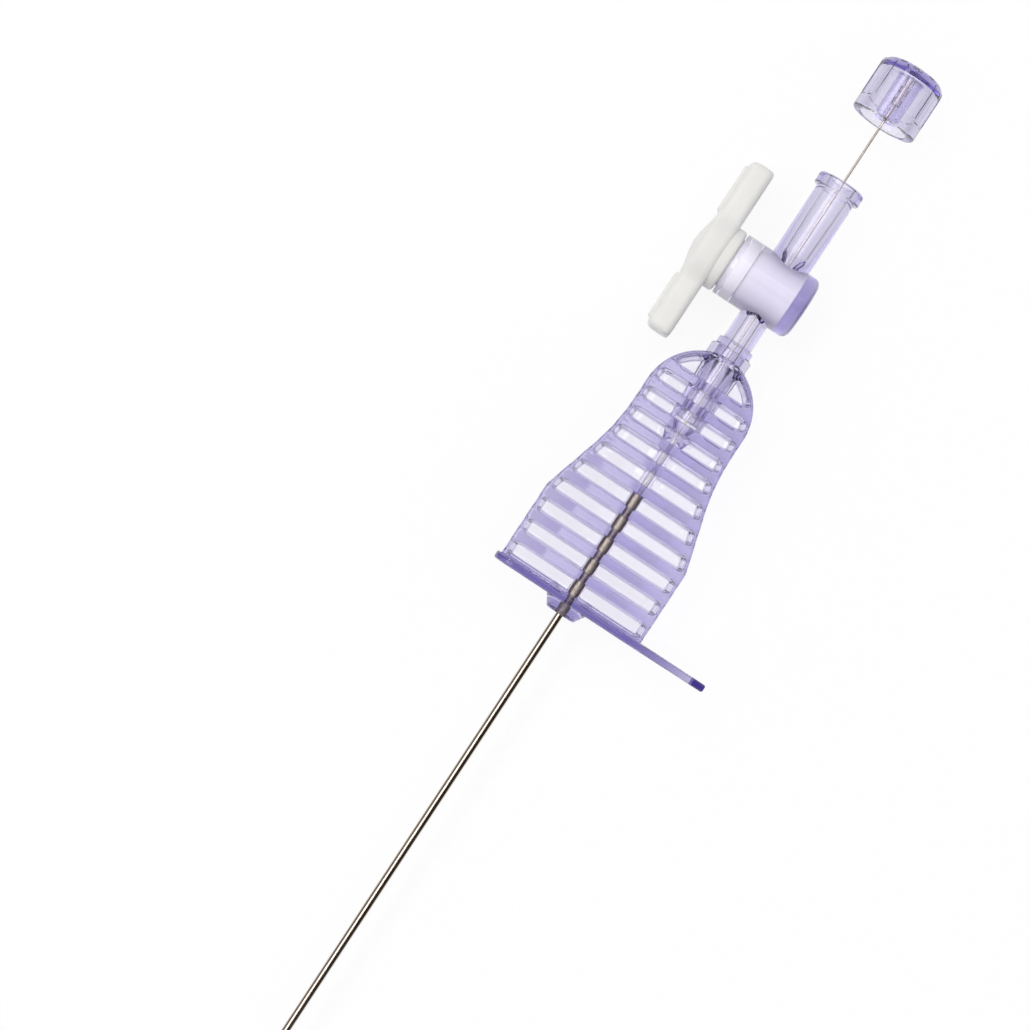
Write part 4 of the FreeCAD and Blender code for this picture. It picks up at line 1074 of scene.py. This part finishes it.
def table():
    """A plain pale table top that the plate's lower edge and the needle's point rest on.
    What the camera sees of it is mostly white, and the rest keeps the shadow. Steel
    mirrors it only near by: further off its mirror image is as dark as the room."""
    rest_y = (BOSS_LENGTH + PLATE_TOP) / 2
    rest_z = -PLATE_HALF
    tip_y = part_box("needle_shaft")[0].y / MM
    slope = (rest_z + TIP_RADIUS) / (rest_y - tip_y)
    corners = np.array([(-1, -1), (1, -1), (1, 1), (-1, 1)]) * TABLE_SIZE
    heights = rest_z - TABLE_GAP + slope * (corners[:, 1] - rest_y)
    points = np.column_stack([corners, heights]) * MM
    mesh = bpy.data.meshes.new("table_top")
    mesh.from_pydata(points, [], [(0, 1, 2, 3)])
    floor = placed("table_top", mesh)
    material, nodes, links, shader = new_material("table_top")
    shader.inputs["Base Color"].default_value = (0.94, 0.94, 0.94, 1)
    shader.inputs["Roughness"].default_value = 0.9
    shader.inputs["Specular IOR Level"].default_value = 0.0
    white = plain_light(nodes, links, "ShaderNodeEmission", WHITE_LIGHT)
    amount = arithmetic(nodes, links, "MULTIPLY", seen_directly(nodes, links), TABLE_WHITE)
    near = mixed(nodes, links, amount, shader.outputs["BSDF"], white)
    path = nodes.new("ShaderNodeLightPath").outputs
    incoming = nodes.new("ShaderNodeNewGeometry").outputs["Incoming"]
    endwise = arithmetic(nodes, links, "ABSOLUTE", parts_of(nodes, links, incoming)["Y"])
    dark = arithmetic(nodes, links, "MULTIPLY", span(nodes, links, path["Ray Length"], *FAR_OFF),
                      span(nodes, links, endwise, *ENDWISE, 1.0, 0.0))
    dark = arithmetic(nodes, links, "MULTIPLY", dark, path["Is Glossy Ray"])
    room = plain_light(nodes, links, "ShaderNodeEmission", ROOM_LIGHT)
    links.new(mixed(nodes, links, dark, near, room), nodes["Material Output"].inputs["Surface"])
    mesh.materials.append(material)


def softbox(name, place, size, watts):
    """A soft lamp at a place, in metres, facing the grip, its second side along Y."""
    lamp = bpy.data.lights.new(name, "AREA")
    lamp.shape = "RECTANGLE"
    lamp.size, lamp.size_y = size
    lamp.energy = watts
    holder = placed(name, lamp)
    back = Vector(place).normalized()
    side = Vector((0, 1, 0)).cross(back).normalized()
    turn = Matrix((side, back.cross(side), back)).transposed().to_4x4()
    holder.matrix_world = Matrix.Translation(Vector(place)) @ turn


def studio():
    """Soft light from above and the left. The surround is white to the camera and for
    what clear plastic lets through from below. It lights as an even grey. Steel mirrors
    it as a brownish grey that darkens to the right, where no lamp stands, and as white
    towards both ends of the needle."""
    world = bpy.data.worlds.new("studio")
    bpy.context.scene.world = world
    world.use_nodes = True
    nodes, links = world.node_tree.nodes, world.node_tree.links
    nodes.clear()
    output = nodes.new("ShaderNodeOutputWorld")
    way = parts_of(nodes, links, nodes.new("ShaderNodeTexCoord").outputs["Generated"])
    shade = nodes.new("ShaderNodeValToRGB")
    links.new(arithmetic(nodes, links, "MULTIPLY_ADD", way["X"], 0.5, 0.5), shade.inputs["Fac"])
    tones = [
        (0.0, (0.27, 0.22, 0.17)), (0.12, (0.34, 0.28, 0.23)), (0.25, (0.55, 0.52, 0.48)),
        (0.45, (0.45, 0.42, 0.38)), (0.56, (0.06, 0.042, 0.03)), (1.0, (0.035, 0.025, 0.018)),
    ]
    for position, colour in tones[1:-1]:
        shade.color_ramp.elements.new(position).color = (*colour, 1)
    shade.color_ramp.elements[0].color = (*tones[0][1], 1)
    shade.color_ramp.elements[-1].color = (*tones[-1][1], 1)
    endwise = span(nodes, links, arithmetic(nodes, links, "ABSOLUTE", way["Y"]), *ENDWISE)
    tint = two_tones(nodes, links, endwise, shade.outputs["Color"], (0.9, 0.9, 0.9))
    strength = span(nodes, links, way["X"], 0.0, 0.8, 1.85, 1.3)
    mirrored, even, white, inside = (
        plain_light(nodes, links, "ShaderNodeBackground", colour, amount)
        for colour, amount in (
            (tint, 1.0), (WHITE_LIGHT, 0.62), (WHITE_LIGHT, 1.0), (WHITE_LIGHT, strength)
        )
    )
    path = nodes.new("ShaderNodeLightPath").outputs
    below = span(nodes, links, way["Z"], 0.0, 0.2, 1.0, 0.0)
    passed = arithmetic(nodes, links, "MULTIPLY", path["Is Transmission Ray"], below)
    seen = arithmetic(nodes, links, "MAXIMUM", path["Is Camera Ray"], passed)
    lit = mixed(nodes, links, path["Is Diffuse Ray"], mirrored, even)
    lit = mixed(nodes, links, path["Is Transmission Ray"], lit, inside)
    links.new(mixed(nodes, links, seen, lit, white), output.inputs["Surface"])
    softbox("key_left", (-0.95, 0.1, 1.75), (0.5, 2.2), 13)
    softbox("panel_above", (-0.215, 0.05, 2.0), (0.29, 1.3), 4.5)
    softbox("fill_above", (0.5, 0.6, 2.0), (1.0, 1.2), 3)


def camera():
    """Looks straight down on the grip, turned so that the shaft runs up to the right."""
    lens = bpy.data.cameras.new("camera")
    lens.sensor_width = 36
    lens.lens = lens.sensor_width * FOCAL_PIXELS / FRAME_PIXELS
    lens.clip_start = 0.01
    holder = placed("camera", lens)
    turn = np.radians(CAMERA_TURN)
    right = Vector((np.cos(turn), np.sin(turn), 0))
    up = Vector((-np.sin(turn), np.cos(turn), 0))
    rotation = Matrix((right, up, Vector((0, 0, 1)))).transposed().to_4x4()
    holder.matrix_world = Matrix.Translation(Vector(CAMERA_PLACE) * MM) @ rotation
    bpy.context.scene.camera = holder


table()
studio()
camera()
bpy.context.scene.view_settings.view_transform = "Standard"
